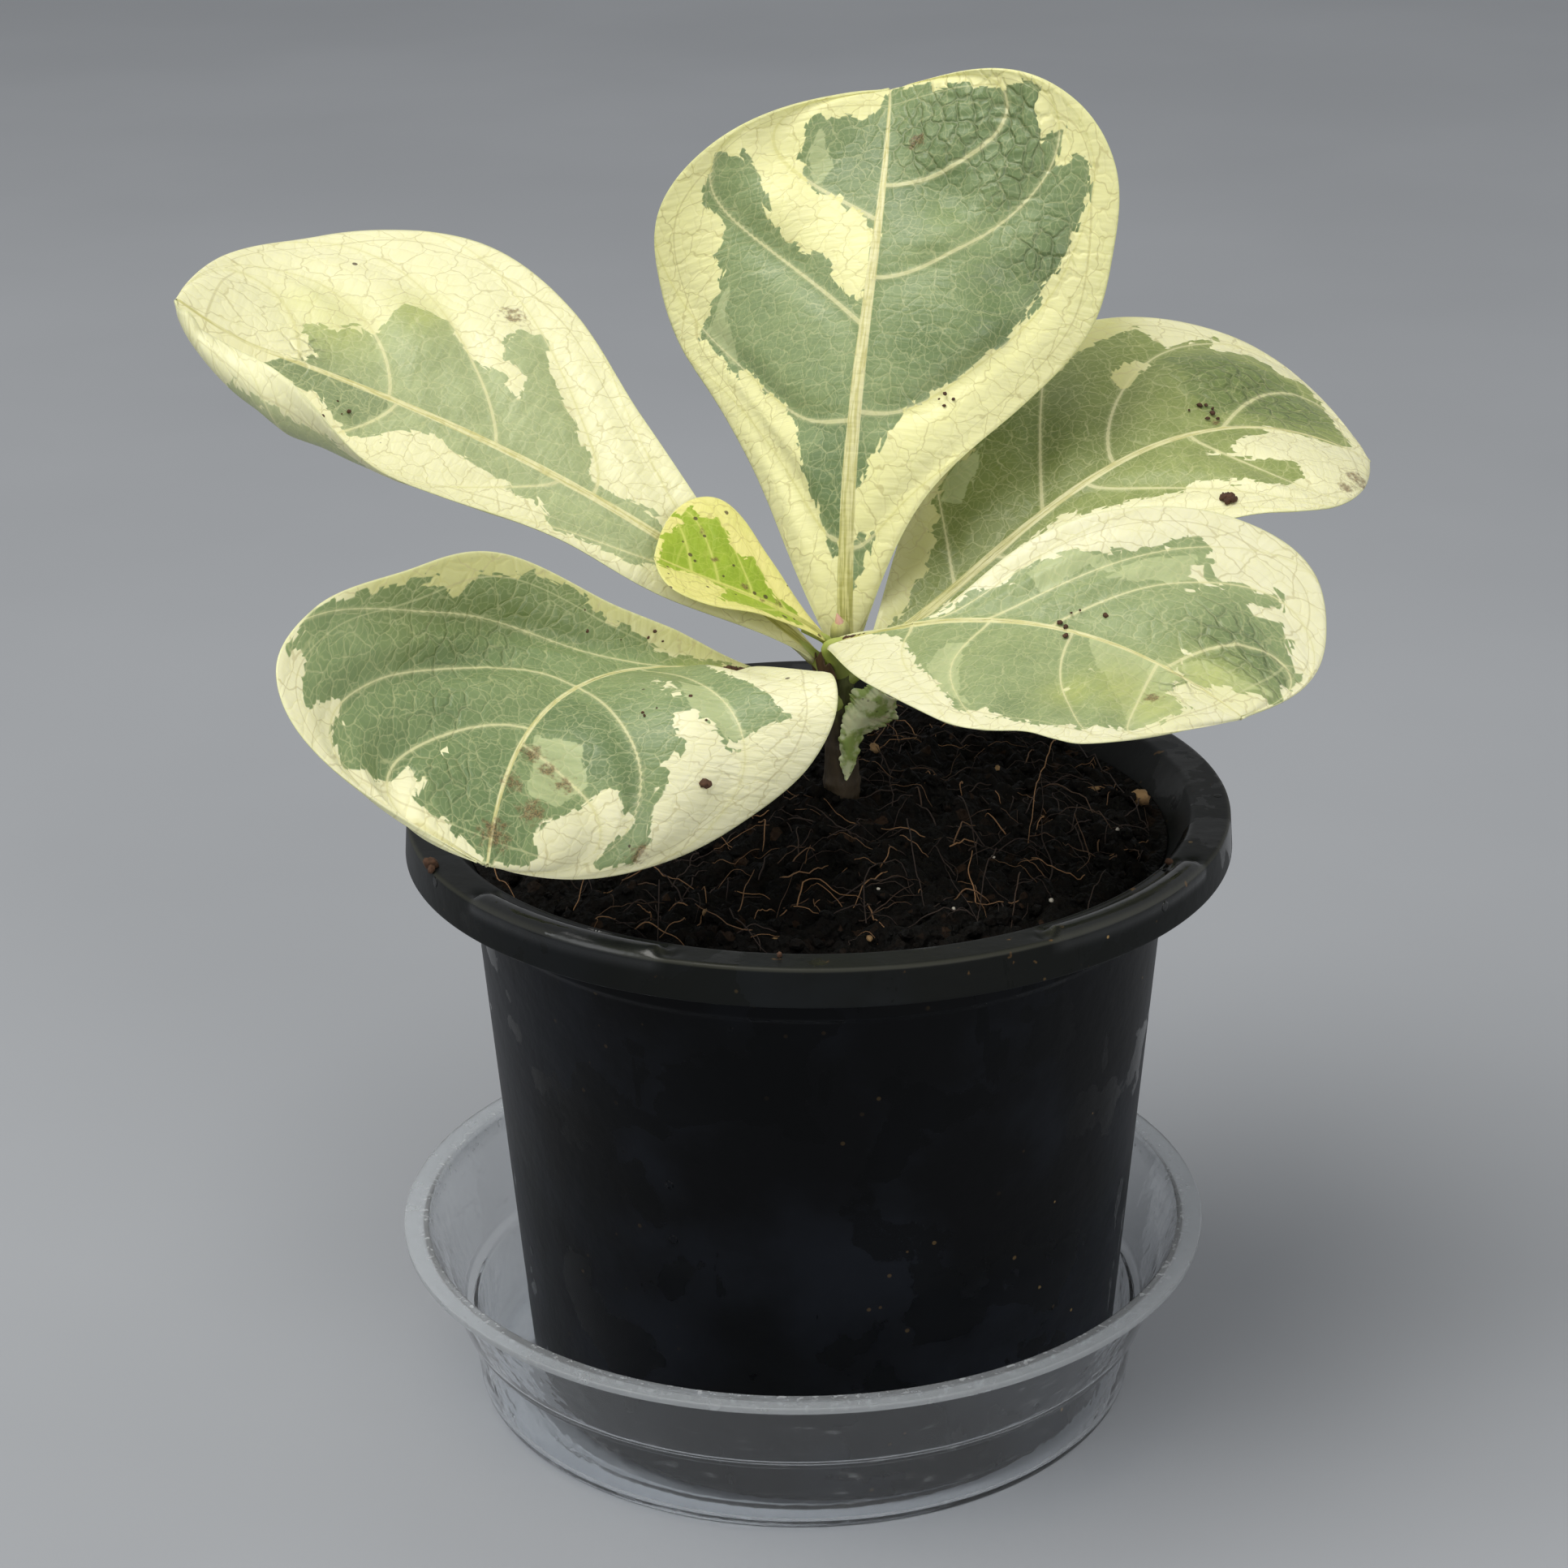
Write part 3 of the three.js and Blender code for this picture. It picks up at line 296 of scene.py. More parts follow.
        "pucker": [(0.83, -0.4, 9), (0.88, -0.25, 8)],
        "shade": [(0.8, -0.5, 8), (0.9, -0.3, 7), (0.5, -0.5, 8)],
        "painted_shade_tint": [[(0, 0), (0, -1.1), (0.75, -1.1), (0.7, -0.4), (0.6, 0)]],
        "brown": [(0.965, 0.72, 4.5), (0.94, 0.8, 3), (0.757, -0.06, 1.6)],
        "fold": [(0.8, -0.42, 8, 1.3), (0.72, -0.25, 7, -1.0), (0.88, -0.2, 5, -0.9)],
        "yellow": 0.3, "olive": 0.85, "sage": 0.0, "slim": 0.85,
    },
}
YOUNG_LEAF = {
    "rib": [(1.4, 1.6, 147.3), (-7.5, -1.5, 155.8), (-18.1, -2.6, 158.8), (-28.6, -4.6, 165.1)],
    "roll": (-28.4, -27.8, -26.9), "rise": 2, "wave": 0.2, "bulge": 0.4, "thin": True,
    "left": {"widths": (3.5, 6.7, 9.6, 11.2, 11.3, 9.9, 6.3), "lift": (12.6, 18.6, 10.3),
             "curl": (1, 11, 6), "sweep": 0, "veins": [(0.3, 0.4, 2), (0.6, 0.25, 1.5)]},
    "right": {"widths": (4.6, 10.1, 15.6, 18.3, 18, 14.9, 9.1), "lift": (6, 11, 2),
              "curl": (-6, 3, -2), "sweep": -0.02,
              "veins": [(0.25, 0.45, 1.8), (0.45, 0.4, 1.6), (0.65, 0.3, 1.4), (0.8, 0.18, 1.2)]},
    "green": [
        [(0.2, 0), (0.31, 0.38), (0.37, 0.53), (0.5, 0.7), (0.55, 0.53), (0.67, 0.62), (0.72, 0.76),
         (0.81, 0.72), (0.86, 0.85), (0.9, 0.7), (0.92, 0.83), (0.98, 0.7), (0.99, -0.5), (0.9, -0.22),
         (0.78, 0)],
        [(0.2, 0), (0.34, -0.92), (0.5, -0.53), (0.62, -0.71), (0.66, -0.56), (0.6, 0)],
    ],
    "brown": [(0.78, 0.56, 1.3), (0.69, 0.28, 1.3), (0.5, 0.12, 1.4), (0.3, 0.2, 1.6), (0.4, 0.02, 1.2)],
}
LEAF_ROWS = 188
LEAF_COLUMNS = 137
YOUNG_ROWS = 120
YOUNG_COLUMNS = 91


def unit(vectors):
    """Vectors shortened or stretched to length one."""
    return vectors / np.maximum(np.linalg.norm(vectors, axis=-1, keepdims=True), 1e-9)


def smooth_step(x):
    """Rises from 0 at x = 0 to 1 at x = 1 with level ends: 3 x squared less 2 x cubed."""
    x = np.clip(x, 0, 1)
    return x * x * (3 - 2 * x)


def bell(x):
    """Bell curve: e to the power of minus x squared."""
    return np.exp(-x * x)


def three_point(values, t):
    """Value at t from 0 to 1 of the parabola through values at the base, the middle and the tip."""
    base, middle, tip = values
    return base * (1 - t) * (1 - 2 * t) + middle * 4 * t * (1 - t) + tip * t * (2 * t - 1)


def smooth_through(values, s):
    """Smooth curve through evenly spaced values or points, at s from 0 to 1. Each stretch is the
    cubic that leaves and enters its ends along the line between their neighbours."""
    values = np.asarray(values, float)
    values = np.concatenate([2 * values[:1] - values[1:2], values, 2 * values[-1:] - values[-2:-1]])
    x = np.clip(s, 0, 1) * (len(values) - 3)
    low = np.minimum(x.astype(int), len(values) - 4)
    f = (x - low).reshape(x.shape + (1,) * (values.ndim - 1))
    a, b, c, d = (values[low + k] for k in range(4))
    return b + 0.5 * f * (c - a + f * (2 * a - 5 * b + 4 * c - d + f * (3 * (b - c) + d - a)))


def cell_net(x, y, seed):
    """Cells round one jittered point in each unit square. Gives the distance to the border, which
    is half of the second nearest point's distance less the nearest one's, each cell's own random
    number, and the distance to its point."""
    jitter = np.random.default_rng(seed).random((REPEAT, REPEAT, 3))
    column, row = np.floor(x).astype(int), np.floor(y).astype(int)
    near = np.full(x.shape, 9.0)
    second = near.copy()
    number = np.zeros(x.shape)
    for right in (-1, 0, 1):
        for up in (-1, 0, 1):
            spot = jitter[(column + right) % REPEAT, (row + up) % REPEAT]
            away = np.hypot(column + right + 0.1 + 0.8 * spot[..., 0] - x,
                            row + up + 0.1 + 0.8 * spot[..., 1] - y)
            closer = away < near
            second = np.where(closer, near, np.minimum(second, away))
            number = np.where(closer, spot[..., 2], number)
            near = np.minimum(near, away)
    return (second - near) / 2, number, near


def rough(x, y, seed):
    """Soft random relief from -1 to 1: random heights at whole x and y, blended by smooth steps."""
    heights = np.random.default_rng(seed).random((REPEAT, REPEAT)) * 2 - 1
    i, j = np.floor(x).astype(int), np.floor(y).astype(int)
    f, g = smooth_step(x - i), smooth_step(y - j)
    left, right, low, high = i % REPEAT, (i + 1) % REPEAT, j % REPEAT, (j + 1) % REPEAT
    near = heights[left, low] * (1 - f) + heights[right, low] * f
    far = heights[left, high] * (1 - f) + heights[right, high] * f
    return near * (1 - g) + far * g


def lattice_faces(rows, columns, round_columns=False):
    """Four-cornered faces of a lattice numbered row by row, which may close round its columns.
    They face along the step to the next column crossed with the step to the next row."""
    index = np.arange(rows * columns).reshape(rows, columns)
    if round_columns:
        index = np.concatenate([index, index[:, :1]], 1)
    corners = (index[:-1, :-1], index[:-1, 1:], index[1:, 1:], index[1:, :-1])
    return np.stack(corners, -1).reshape(-1, 4)


def closed_sheet(upper, lower):
    """Points and faces of a thin sheet: an upper lattice, a lower one numbered after it, turned
    over, and the wall that joins them round the border."""
    rows, columns = upper.shape[:2]
    count = rows * columns
    top = lattice_faces(rows, columns)
    index = np.arange(count).reshape(rows, columns)
    border = np.concatenate([index[0, :-1], index[:-1, -1], index[-1, :0:-1], index[:0:-1, 0]])
    beyond = np.roll(border, -1)
    wall = np.stack([beyond, border, border + count, beyond + count], -1)
    points = np.concatenate([upper.reshape(-1, 3), lower.reshape(-1, 3)])
    return points, [top, top[:, ::-1] + count, wall]


def closed_rings(rings, first, last):
    """Points and faces of rings of points joined in order, closed by a fan at each end."""
    count, sides = rings.shape[:2]
    points = np.concatenate([rings.reshape(-1, 3), [first], [last]])
    ring = np.arange(sides)
    beyond = np.roll(ring, -1)
    start = (count - 1) * sides
    low_fan = np.stack([np.full(sides, count * sides), beyond, ring], -1)
    high_fan = np.stack([np.full(sides, count * sides + 1), start + ring, start + beyond], -1)
    return points, [lattice_faces(count, sides, True), low_fan, high_fan]


def turned(radius, height, sides, centre=(0, 0)):
    """Closed body turned about an upright axis. Radius and height are arrays of (outline points) or
    of (outline points, sides), and each point is (radius cos angle, radius sin angle, height)."""
    angle = np.arange(sides) / sides * TAU
    radius, height = (np.broadcast_to(np.asarray(a, float).T, (sides, len(a))).T for a in (radius, height))
    rings = np.stack([centre[0] + radius * np.cos(angle), centre[1] + radius * np.sin(angle), height], -1)
    ends = [(*centre, height[k].mean()) for k in (0, -1)]
    return closed_rings(rings, *ends)


def turned_fields(fields):
    """Fields of a turned body, with a zero for the middle of each of its two ends."""
    return {name: np.concatenate([numbers.ravel(), [0, 0]]) for name, numbers in fields.items()}


def tubes(paths, radii, sides):
    """Round tubes along many paths at once, each closed at both ends. A point is the path's point
    plus radius times (cos angle times side + sin angle times top), square to the path."""
    ahead = unit(np.gradient(paths, axis=1))
    steep = np.abs(ahead[..., 2:]).mean(1, keepdims=True) > 0.8
    side = unit(np.cross(ahead, np.where(steep, (1.0, 0.0, 0.0), (0.0, 0.0, 1.0))))
    top = np.cross(side, ahead)
    angle = (np.arange(sides) / sides * TAU)[:, None]
    arms = side[:, :, None] * np.cos(angle) + top[:, :, None] * np.sin(angle)
    rings = paths[:, :, None] + arms * radii[:, :, None, None]
    made = [closed_rings(ring, path[0], path[-1]) for ring, path in zip(rings, paths)]
    return joined(made)


def joined(parts):
    """Several sets of points and faces as one set."""
    points, faces, start = [], [], 0
    for part_points, part_faces in parts:
        points.append(part_points)
        faces.extend(face + start for face in part_faces)
        start += len(part_points)
    return np.concatenate(points), faces


def rounded(corners, steps=5):
    """Outline through (radius, height, fillet) corners. A fillet swaps its corner for the parabola
    between the points that far before and after it."""
    places = np.array([corner[:2] for corner in corners], float)
    made = []
    for k, corner in enumerate(corners):
        fillet = corner[2]
        if not fillet:
            made.append(places[k:k + 1])
            continue
        before = places[k] + unit(places[k - 1] - places[k]) * fillet
        after = places[k] + unit(places[k + 1] - places[k]) * fillet
        f = np.linspace(0, 1, steps)[:, None]
        made.append(before * (1 - f) ** 2 + 2 * places[k] * f * (1 - f) + after * f * f)
    return np.concatenate(made)


def finely(outline, longest):
    """The outline with points added so that no step is longer than this."""
    parts = []
    for a, b in zip(outline, outline[1:]):
        count = max(1, int(np.ceil(np.linalg.norm(b - a) / longest)))
        parts.append(a + (b - a) * (np.arange(count) / count)[:, None])
    return np.concatenate(parts + [outline[-1:]])


def add_piece(name, points, faces, finish, slot, replaces=(), fields=None, uv=None):
    """Makes one smooth object of points in millimetres, with a number for each point in each
    field, and lets it ride on the frame's body."""
    mesh = bpy.data.meshes.new(name)
    corners = np.concatenate([face.ravel() for face in faces]).astype(np.int32)
    sizes = np.concatenate([np.full(len(face), face.shape[1]) for face in faces])
    mesh.vertices.add(len(points))
    mesh.vertices.foreach_set("co", (points * MM).astype(np.float32).ravel())
    mesh.loops.add(len(corners))
    mesh.loops.foreach_set("vertex_index", corners)
    mesh.polygons.add(len(sizes))
    mesh.polygons.foreach_set("loop_start", (np.cumsum(sizes) - sizes).astype(np.int32))
    mesh.polygons.foreach_set("use_smooth", np.ones(len(sizes), bool))
    mesh.update(calc_edges=True)
    if mesh.validate():
        raise RuntimeError(f"{name} has faces that its mesh can't hold")
    for field, numbers in (fields or {}).items():
        layer = mesh.attributes.new(field, "FLOAT", "POINT")
        layer.data.foreach_set("value", np.asarray(numbers, np.float32).ravel())
    if uv is not None:
        layer = mesh.uv_layers.new(name="lamina")
        layer.data.foreach_set("uv", uv[corners].astype(np.float32).ravel())
    mesh.materials.append(finish)
    piece = bpy.data.objects.new(name, mesh)
    bpy.context.scene.collection.objects.link(piece)
    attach(piece, "root")
    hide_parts(*replaces)


def paint(red, green, blue):
    """A colour given in screen values from 0 to 255, as the linear colour that shaders read."""
    screen = np.array([red, green, blue]) / 255
    linear = np.where(screen < 0.04045, screen / 12.92, ((screen + 0.055) / 1.055) ** 2.4)
    return (*(float(part) for part in linear), 1.0)


def between(first, second, share):
    """Colour part of the way from the first to the second."""
    return tuple(a + (b - a) * share for a, b in zip(first, second))


class Finish:
    """Wires one material. A value fed to a node is a number, a colour or another node's output."""

    def __init__(self, name, **plain):
        self.material = bpy.data.materials.new(name)
        self.material.use_nodes = True
        self.tree = self.material.node_tree
        self.tree.nodes.clear()
        self.shader = self.tree.nodes.new("ShaderNodeBsdfPrincipled")
        self.end = self.tree.nodes.new("ShaderNodeOutputMaterial")
        self.tree.links.new(self.shader.outputs[0], self.end.inputs[0])
        for socket, value in plain.items():
            self.put(socket.replace("_", " "), value)

    def feed(self, socket, value):
        if isinstance(value, bpy.types.NodeSocket):
            self.tree.links.new(value, socket)
        else:
            socket.default_value = value

    def put(self, socket, value):
        self.feed(self.shader.inputs[socket], value)

    def node(self, kind, inputs=None, output=0, **choices):
        made = self.tree.nodes.new(kind)
        for key, value in choices.items():
            setattr(made, key, value)
        for socket, value in (inputs or {}).items():
            self.feed(made.inputs[socket], value)
        return made.outputs[output]

    def math(self, how, a, b=0.0, clamp=False):
        return self.node("ShaderNodeMath", {0: a, 1: b}, operation=how, use_clamp=clamp)

    def plus(self, a, b, clamp=False):
        return self.math("ADD", a, b, clamp)

    def minus(self, a, b, clamp=False):
        return self.math("SUBTRACT", a, b, clamp)

    def times(self, a, b, clamp=False):
        return self.math("MULTIPLY", a, b, clamp)

    def larger(self, a, b):
        return self.math("MAXIMUM", a, b)

    def vector(self, how, a, b):
        return self.node("ShaderNodeVectorMath", {0: a, 1: b}, operation=how)

    def mix(self, share, a, b):
        return self.node("ShaderNodeMix", {0: share, 6: a, 7: b}, 2, data_type="RGBA")

    def lay(self, under, over, share, weight):
        """One colour with another laid over it, as far as the share times the weight."""
        return self.mix(self.times(share, weight), under, over)

    def ramp(self, value, low, high, start=0.0, stop=1.0):
        return self.node("ShaderNodeMapRange", {0: value, 1: low, 2: high, 3: start, 4: stop},
                         interpolation_type="SMOOTHSTEP")

    def field(self, name):
        return self.node("ShaderNodeAttribute", None, 2, attribute_name=name)

    def place(self):
        return self.node("ShaderNodeTexCoord", None, 3)

    def noise(self, at, scale, detail=2.0, output=0, flat=False):
        return self.node("ShaderNodeTexNoise", {"Vector": at, "Scale": scale, "Detail": detail}, output,
                         noise_dimensions="2D" if flat else "3D")

    def cells(self, at, scale, feature="F1", output=0, flat=False):
        return self.node("ShaderNodeTexVoronoi", {"Vector": at, "Scale": scale}, output,
                         feature=feature, voronoi_dimensions="2D" if flat else "3D")

    def bump(self, height, distance):
        relief = self.node("ShaderNodeBump", {"Height": height, "Distance": distance, "Strength": 1.0})
        self.put("Normal", relief)


def along_rib(s):
    """Share of the rib at row s: 1 less (1 - s) to the power TIP_CROWDING, so that rows crowd
    towards the tip."""
    return 1 - (1 - s) ** TIP_CROWDING


def rib_frame(leaf, t):
    """The rib's point at t and the blade's directions there: ahead, up and right. The point is on
    the Bezier curve, and up is square to it, turned about it by the roll."""
    a, b, c, d = (np.array(point, float) for point in leaf["rib"])
    t = t[..., None]
    point = a * (1 - t) ** 3 + 3 * b * t * (1 - t) ** 2 + 3 * c * t * t * (1 - t) + d * t ** 3
    ahead = unit((b - a) * (1 - t) ** 2 + 2 * (c - b) * t * (1 - t) + (d - c) * t * t)
    upright = unit(np.array([0, 0, 1.0]) - ahead * ahead[..., 2:])
    roll = three_point(leaf["roll"], t) * DEGREE
    up = upright * np.cos(roll) + np.cross(ahead, upright) * np.sin(roll)
    point = point + np.array(leaf.get("hook", (0, 0, 0))) * np.maximum(0, (t - 0.9) / 0.1) ** 2
    return point, ahead, up, np.cross(ahead, up)


def half_section(half, s, t, across):
    """A half blade's width, and how far out and up its section reaches, as shares of the width. The
    section leaves the rib at its lift, turns evenly by its curl and by its fold near the margin, so
    each is the sum of cos or sin of that angle over small steps."""
    steps = 96
    width = np.maximum(0.3, smooth_through([PETIOLE_HALF_WIDTH, *half["widths"], 0], s))
    middle = (np.arange(steps) + 0.5) / steps
    angle = (three_point(half["lift"], t) + three_point(half["curl"], t) * middle) * DEGREE
    if "fold" in half:
        most = width * half["fold_width"] / TIGHTEST_FOLD
        fold = np.minimum(three_point(half["fold"], t) * DEGREE, most)
        angle = angle + fold * smooth_step((middle - half["fold_at"]) / half["fold_width"] + 0.5)
    walk = np.cumsum(np.exp(1j * angle), 1) / steps
    walk = np.concatenate([np.zeros((len(walk), 1)), walk], 1)
    place = across[0] * steps
    low = np.minimum(place.astype(int), steps - 1)
    reach = walk[:, low] * (1 - (place - low)) + walk[:, low + 1] * (place - low)
    return width, reach.real, reach.imag


def blade_sheet(leaf, s, v):
    """The blade's middle surface on a lattice of s along and v across, from -1 to 1. A point is the
    rib's point, plus right times the section's reach out, plus up times its reach up and the wave
    of the margin, plus ahead times the sweep."""
    t = along_rib(s)
    point, ahead, up, right = rib_frame(leaf, t)
    across = np.abs(v)
    left_half, right_half = (half_section(leaf[side], s, t, across) for side in ("left", "right"))
    is_left = v < 0
    width, out, rise = (np.where(is_left, a, b) for a, b in zip(left_half, right_half))
    out = np.where(is_left, -out, out) * width
    sweep = np.where(is_left, leaf["left"]["sweep"], leaf["right"]["sweep"])
    margin = leaf["wave"] * across ** 3 * np.sin(TAU * (2.3 * t + np.where(is_left, 0.15, 0.6)))
    middle = (point + right * out[..., None] + up * (width * rise + margin)[..., None]
              + ahead * (width * sweep * across ** 1.5)[..., None])
    return middle, t, width


def facing(lattice):
    """Unit normals of a lattice: the step across crossed with the step along."""
    return unit(np.cross(np.gradient(lattice, axis=1), np.gradient(lattice, axis=0)))


def side_veins(half, t, across, width, length):
    """The phase, which grows by one from each side vein to the next, and how many millimetres one
    phase is. A side vein lies at start + rise times across to the power of its bend, less its bow
    times 4 across (1 - across)."""
    curves, slants = [np.full(across.shape, -0.15)], [1.0]
    for start, rise, bend, *bow in half["veins"]:
        bow = bow[0] if bow else 0
        curve = start + rise * across ** bend - bow * 4 * across * (1 - across)
        slope = rise * bend * across ** (bend - 1) - bow * 4 * (1 - 2 * across)
        curves.append(np.maximum(curve, curves[-1] + 0.03))
        slants.append(1 / np.sqrt(1 + (slope * length / width) ** 2))
    curves.append(np.maximum(curves[-1] + 0.03, 1.1))
    slants.append(1.0)
    phase, pitch = 0.0, 1.0
    for low, high, first, second in zip(curves, curves[1:], slants, slants[1:]):
        share = np.clip((t - low) / (high - low), 0, 1)
        phase = phase + share
        pitch = np.where(t >= low, (high - low) * length * (first + (second - first) * share), pitch)
    return phase, pitch


def patch_depth(outlines, x, y):
    """How deep each point lies inside the nearest outline, in millimetres, and negative outside.
    Outlines closer together than a millimetre or so run into one."""
    best = np.full(x.shape, -40.0)
    for outline in outlines:
        inside = np.zeros(x.shape, bool)
        away = np.full(x.shape, 1e6)
        for (ax, ay), (bx, by) in zip(outline, np.roll(outline, -1, 0)):
            part = ((x - ax) * (bx - ax) + (y - ay) * (by - ay)) / ((bx - ax) ** 2 + (by - ay) ** 2 + 1e-9)
            part = np.clip(part, 0, 1)
            away = np.minimum(away, np.hypot(x - ax - part * (bx - ax), y - ay - part * (by - ay)))
            if ay != by:
                inside ^= ((ay > y) != (by > y)) & (x < (bx - ax) * (y - ay) / (by - ay) + ax)
        depth = np.where(inside, away, -away)
        best = np.maximum.reduce([best, depth, (best + depth) / 2 + 1.6])
    return best


class Blade:
    """One leaf's lattice with the fields that its relief and its colours follow."""

    def __init__(self, leaf, rows, columns, seed):
        self.leaf = leaf
        s = np.linspace(0, 0.998, rows)[:, None]
        even = np.linspace(-1, 1, columns)[None]
        v = even - 0.07 * np.sin(TAU * even)    # columns crowd towards the rib and the margins
        self.middle, t, self.width = blade_sheet(leaf, s, v)
        self.t = np.broadcast_to(t, self.width.shape)
        across = np.abs(v)
        self.across = np.broadcast_to(across, self.width.shape)
        rib = rib_frame(leaf, np.linspace(0, 1, 60))[0]
        self.length = np.linalg.norm(np.diff(rib, axis=0), axis=1).sum()
        self.x = v * self.width
        self.y = self.t * self.length
        self.margin = np.minimum((1 - self.across) * self.width, (1.002 - self.t) * self.length)
        halves = [side_veins(leaf[side], t, across, self.width, self.length) for side in ("left", "right")]
        self.phase, self.pitch = (np.where(v < 0, a, b) for a, b in zip(*halves))
        self.gap = np.abs(self.phase - np.round(self.phase)) * self.pitch
        bent = 2.2 * rough(self.x / 11, self.y / 11, seed)
        self.net = cell_net((self.x + bent) / NET_CELL, (self.y - bent) / NET_CELL, seed)[0] * NET_CELL
        self.mesh = cell_net(self.x / PUCKER_CELL, self.y / PUCKER_CELL, seed + 1)[0] * PUCKER_CELL
        self.pucker = self.marks("pucker", bell) * leaf.get("puckering", 1.0)
        self.swell = sum(high * self.marks("fold", bell, [mark]) for *mark, high in leaf.get("fold", ()))

    def outlines(self, name):
        """The leaf's patches of this name, from shares to millimetres out from the rib and along it."""
        left, right = self.width[:, 0], self.width[:, -1]
        made = []
        for outline in self.leaf.get(name, ()):
            t, v = np.array(outline, float).T
            width = np.where(v < 0, np.interp(t, self.t[:, 0], left), np.interp(t, self.t[:, 0], right))
            made.append(np.stack([v * width, t * self.length], -1))
        return made

    def depth(self, name):
        """How deep each point lies in the leaf's patches of this name, negative outside them."""
        return patch_depth(self.outlines(name), self.x, self.y)

    def marks(self, name, shape, marks=None):
        """The strongest of the marks of this name at each point: the shape of distance over radius."""
        strength = np.zeros(self.x.shape)
        for t, v, radius in marks or self.leaf.get(name, ()):
            side = 0 if v < 0 else -1
            x = v * np.interp(t, self.t[:, 0], self.width[:, side])
            away = np.hypot(self.x - x, self.y - t * self.length)
            strength = np.maximum(strength, shape(away / radius))
        return strength

    def relief(self, quilting):
        """Height of the upper face over the middle surface: it bulges between side veins, swells or
        sinks at its folds and, where it is puckered, bulges in each mesh of two nets."""
        inner = np.sin(np.pi * np.minimum(1, self.across * 1.05)) * np.minimum(1, self.width / 20)
        groove = np.exp(-((self.gap / 2.6) ** 2) / 2)
        pillow = (smooth_step(self.net / 1.9) - 0.5) * 0.3 * self.pucker
        small = (smooth_step(self.mesh) - 0.5) * 0.4 * self.pucker
        return inner * (self.leaf["bulge"] * (0.5 - groove) + self.swell + quilting * (pillow + small))

    def faces_of(self, thickness, quilting, vein_height):
        """Points of the upper and lower lattice: the middle surface moved along its normal by the
        relief, the veins' ridges and half the thickness, which thins at the margin."""
        normal = facing(self.middle)
        scale = 0.4 if self.leaf.get("thin") else 1.0
        half = thickness / 2 * (0.35 + 0.65 * smooth_step(self.margin / 0.9))
        ridge = vein_height * scale * bell(self.gap / 0.7) * (1 - 0.6 * self.across)
        rib = scale * bell(self.x / (1.25 * scale ** 0.5)) * (1 - 0.72 * self.t)
        lift = self.relief(quilting * scale)
        upper = self.middle + normal * (lift + ridge + 0.55 * rib + half)[..., None]
        lower = self.middle + normal * (lift - 1.6 * ridge - 1.4 * rib - half)[..., None]
        return upper, lower


def petiole_path(leaf, steps):
    """Middle line of the petiole, from the stem to the underside of the blade: a smooth curve
    through the stem's middle, a point on the way, the blade's start and the rib a little further."""
    start = np.array(leaf["rib"][0], float)
    share = (start[2] - leaf["rise"] - STEM_FOOT[2]) / (STEM_TOP[2] - STEM_FOOT[2])
    seat = STEM_FOOT + (STEM_TOP - STEM_FOOT) * share
    on_way = seat + (start - seat) * 0.6 - np.array([0, 0, 0.6])
    point, _, up, _ = rib_frame(leaf, np.array(0.12))
    return smooth_through([seat, on_way, start, point - up], np.linspace(0, 1, steps))


def add_leaf(name, leaf, rows, columns, seed, settings, finish, slot):
    """Joins a leaf's two lattices round their edge, adds its petiole, and makes it one piece."""
    blade = Blade(leaf, rows, columns, seed)
    upper, lower = blade.faces_of(settings.thickness, settings.quilting, settings.vein_height)
    count = rows * columns
    thin = 0.65 if leaf.get("thin") else 1.0
    path = petiole_path(leaf, PETIOLE_STEPS)
    radii = smooth_through(PETIOLE_RADII, np.linspace(0, 1, PETIOLE_STEPS)) * thin
    stalk_points, stalk_faces = tubes(path[None], radii[None], 16)
    points, faces = joined([closed_sheet(upper, lower), (stalk_points, stalk_faces)])
    green = np.minimum(blade.depth("green"), -blade.depth("cream"))
    # The veins' loops run in arches at 5.2 mm from the margin and less between side veins.
    loop = blade.margin - 5.2 + 1.4 * np.abs(np.sin(np.pi * blade.phase))
    slim = thin * leaf.get("slim", 1.0)
    rib_width = slim * (0.25 + 1.25 * (1 - blade.t) ** 0.8)
    vein_width = slim * (0.1 + 0.32 * (1 - blade.across) ** 1.3)
    on_blade = {
        "green": green,
        "pale": blade.depth("pale"),
        # Patches of painted shade, where a leaf lies in shade and is tinted olive.
        "painted_shade_tint": blade.depth("painted_shade_tint"),
        "lime": blade.marks("lime", bell),
        # Painted shade: how strongly the shade marks darken the green.
        "shade": blade.marks("shade", bell),
        "dark": blade.depth("dark"),
        "rib": np.abs(blade.x) - rib_width,
        "along": blade.t,
        "phase": blade.phase,
        "pitch": blade.pitch,
        "vein_width": vein_width,
        "loop": loop,
        "margin": blade.margin,
        "brown": blade.marks("brown", lambda away: 1 - np.minimum(away, 1)),
        "pucker": blade.pucker,
    }
    on_stalk = np.zeros(len(stalk_points))
    fields = {key: np.concatenate([a.ravel(), a.ravel(), on_stalk]) for key, a in on_blade.items()}
    fields["green"][count:2 * count] = np.maximum(green, blade.depth("green_beneath")).ravel()
    fields["under"] = np.concatenate([np.zeros(count), np.ones(count), on_stalk])
    fields["stalk"] = np.concatenate([np.zeros(2 * count), on_stalk + 1])
    flat = np.stack([blade.x / 10, blade.y / 10], -1).reshape(-1, 2)
    uv = np.concatenate([flat, flat, stalk_points[:, :2] / 10])
    add_piece(name + "_fine", points, faces, finish, slot, [name], fields, uv)


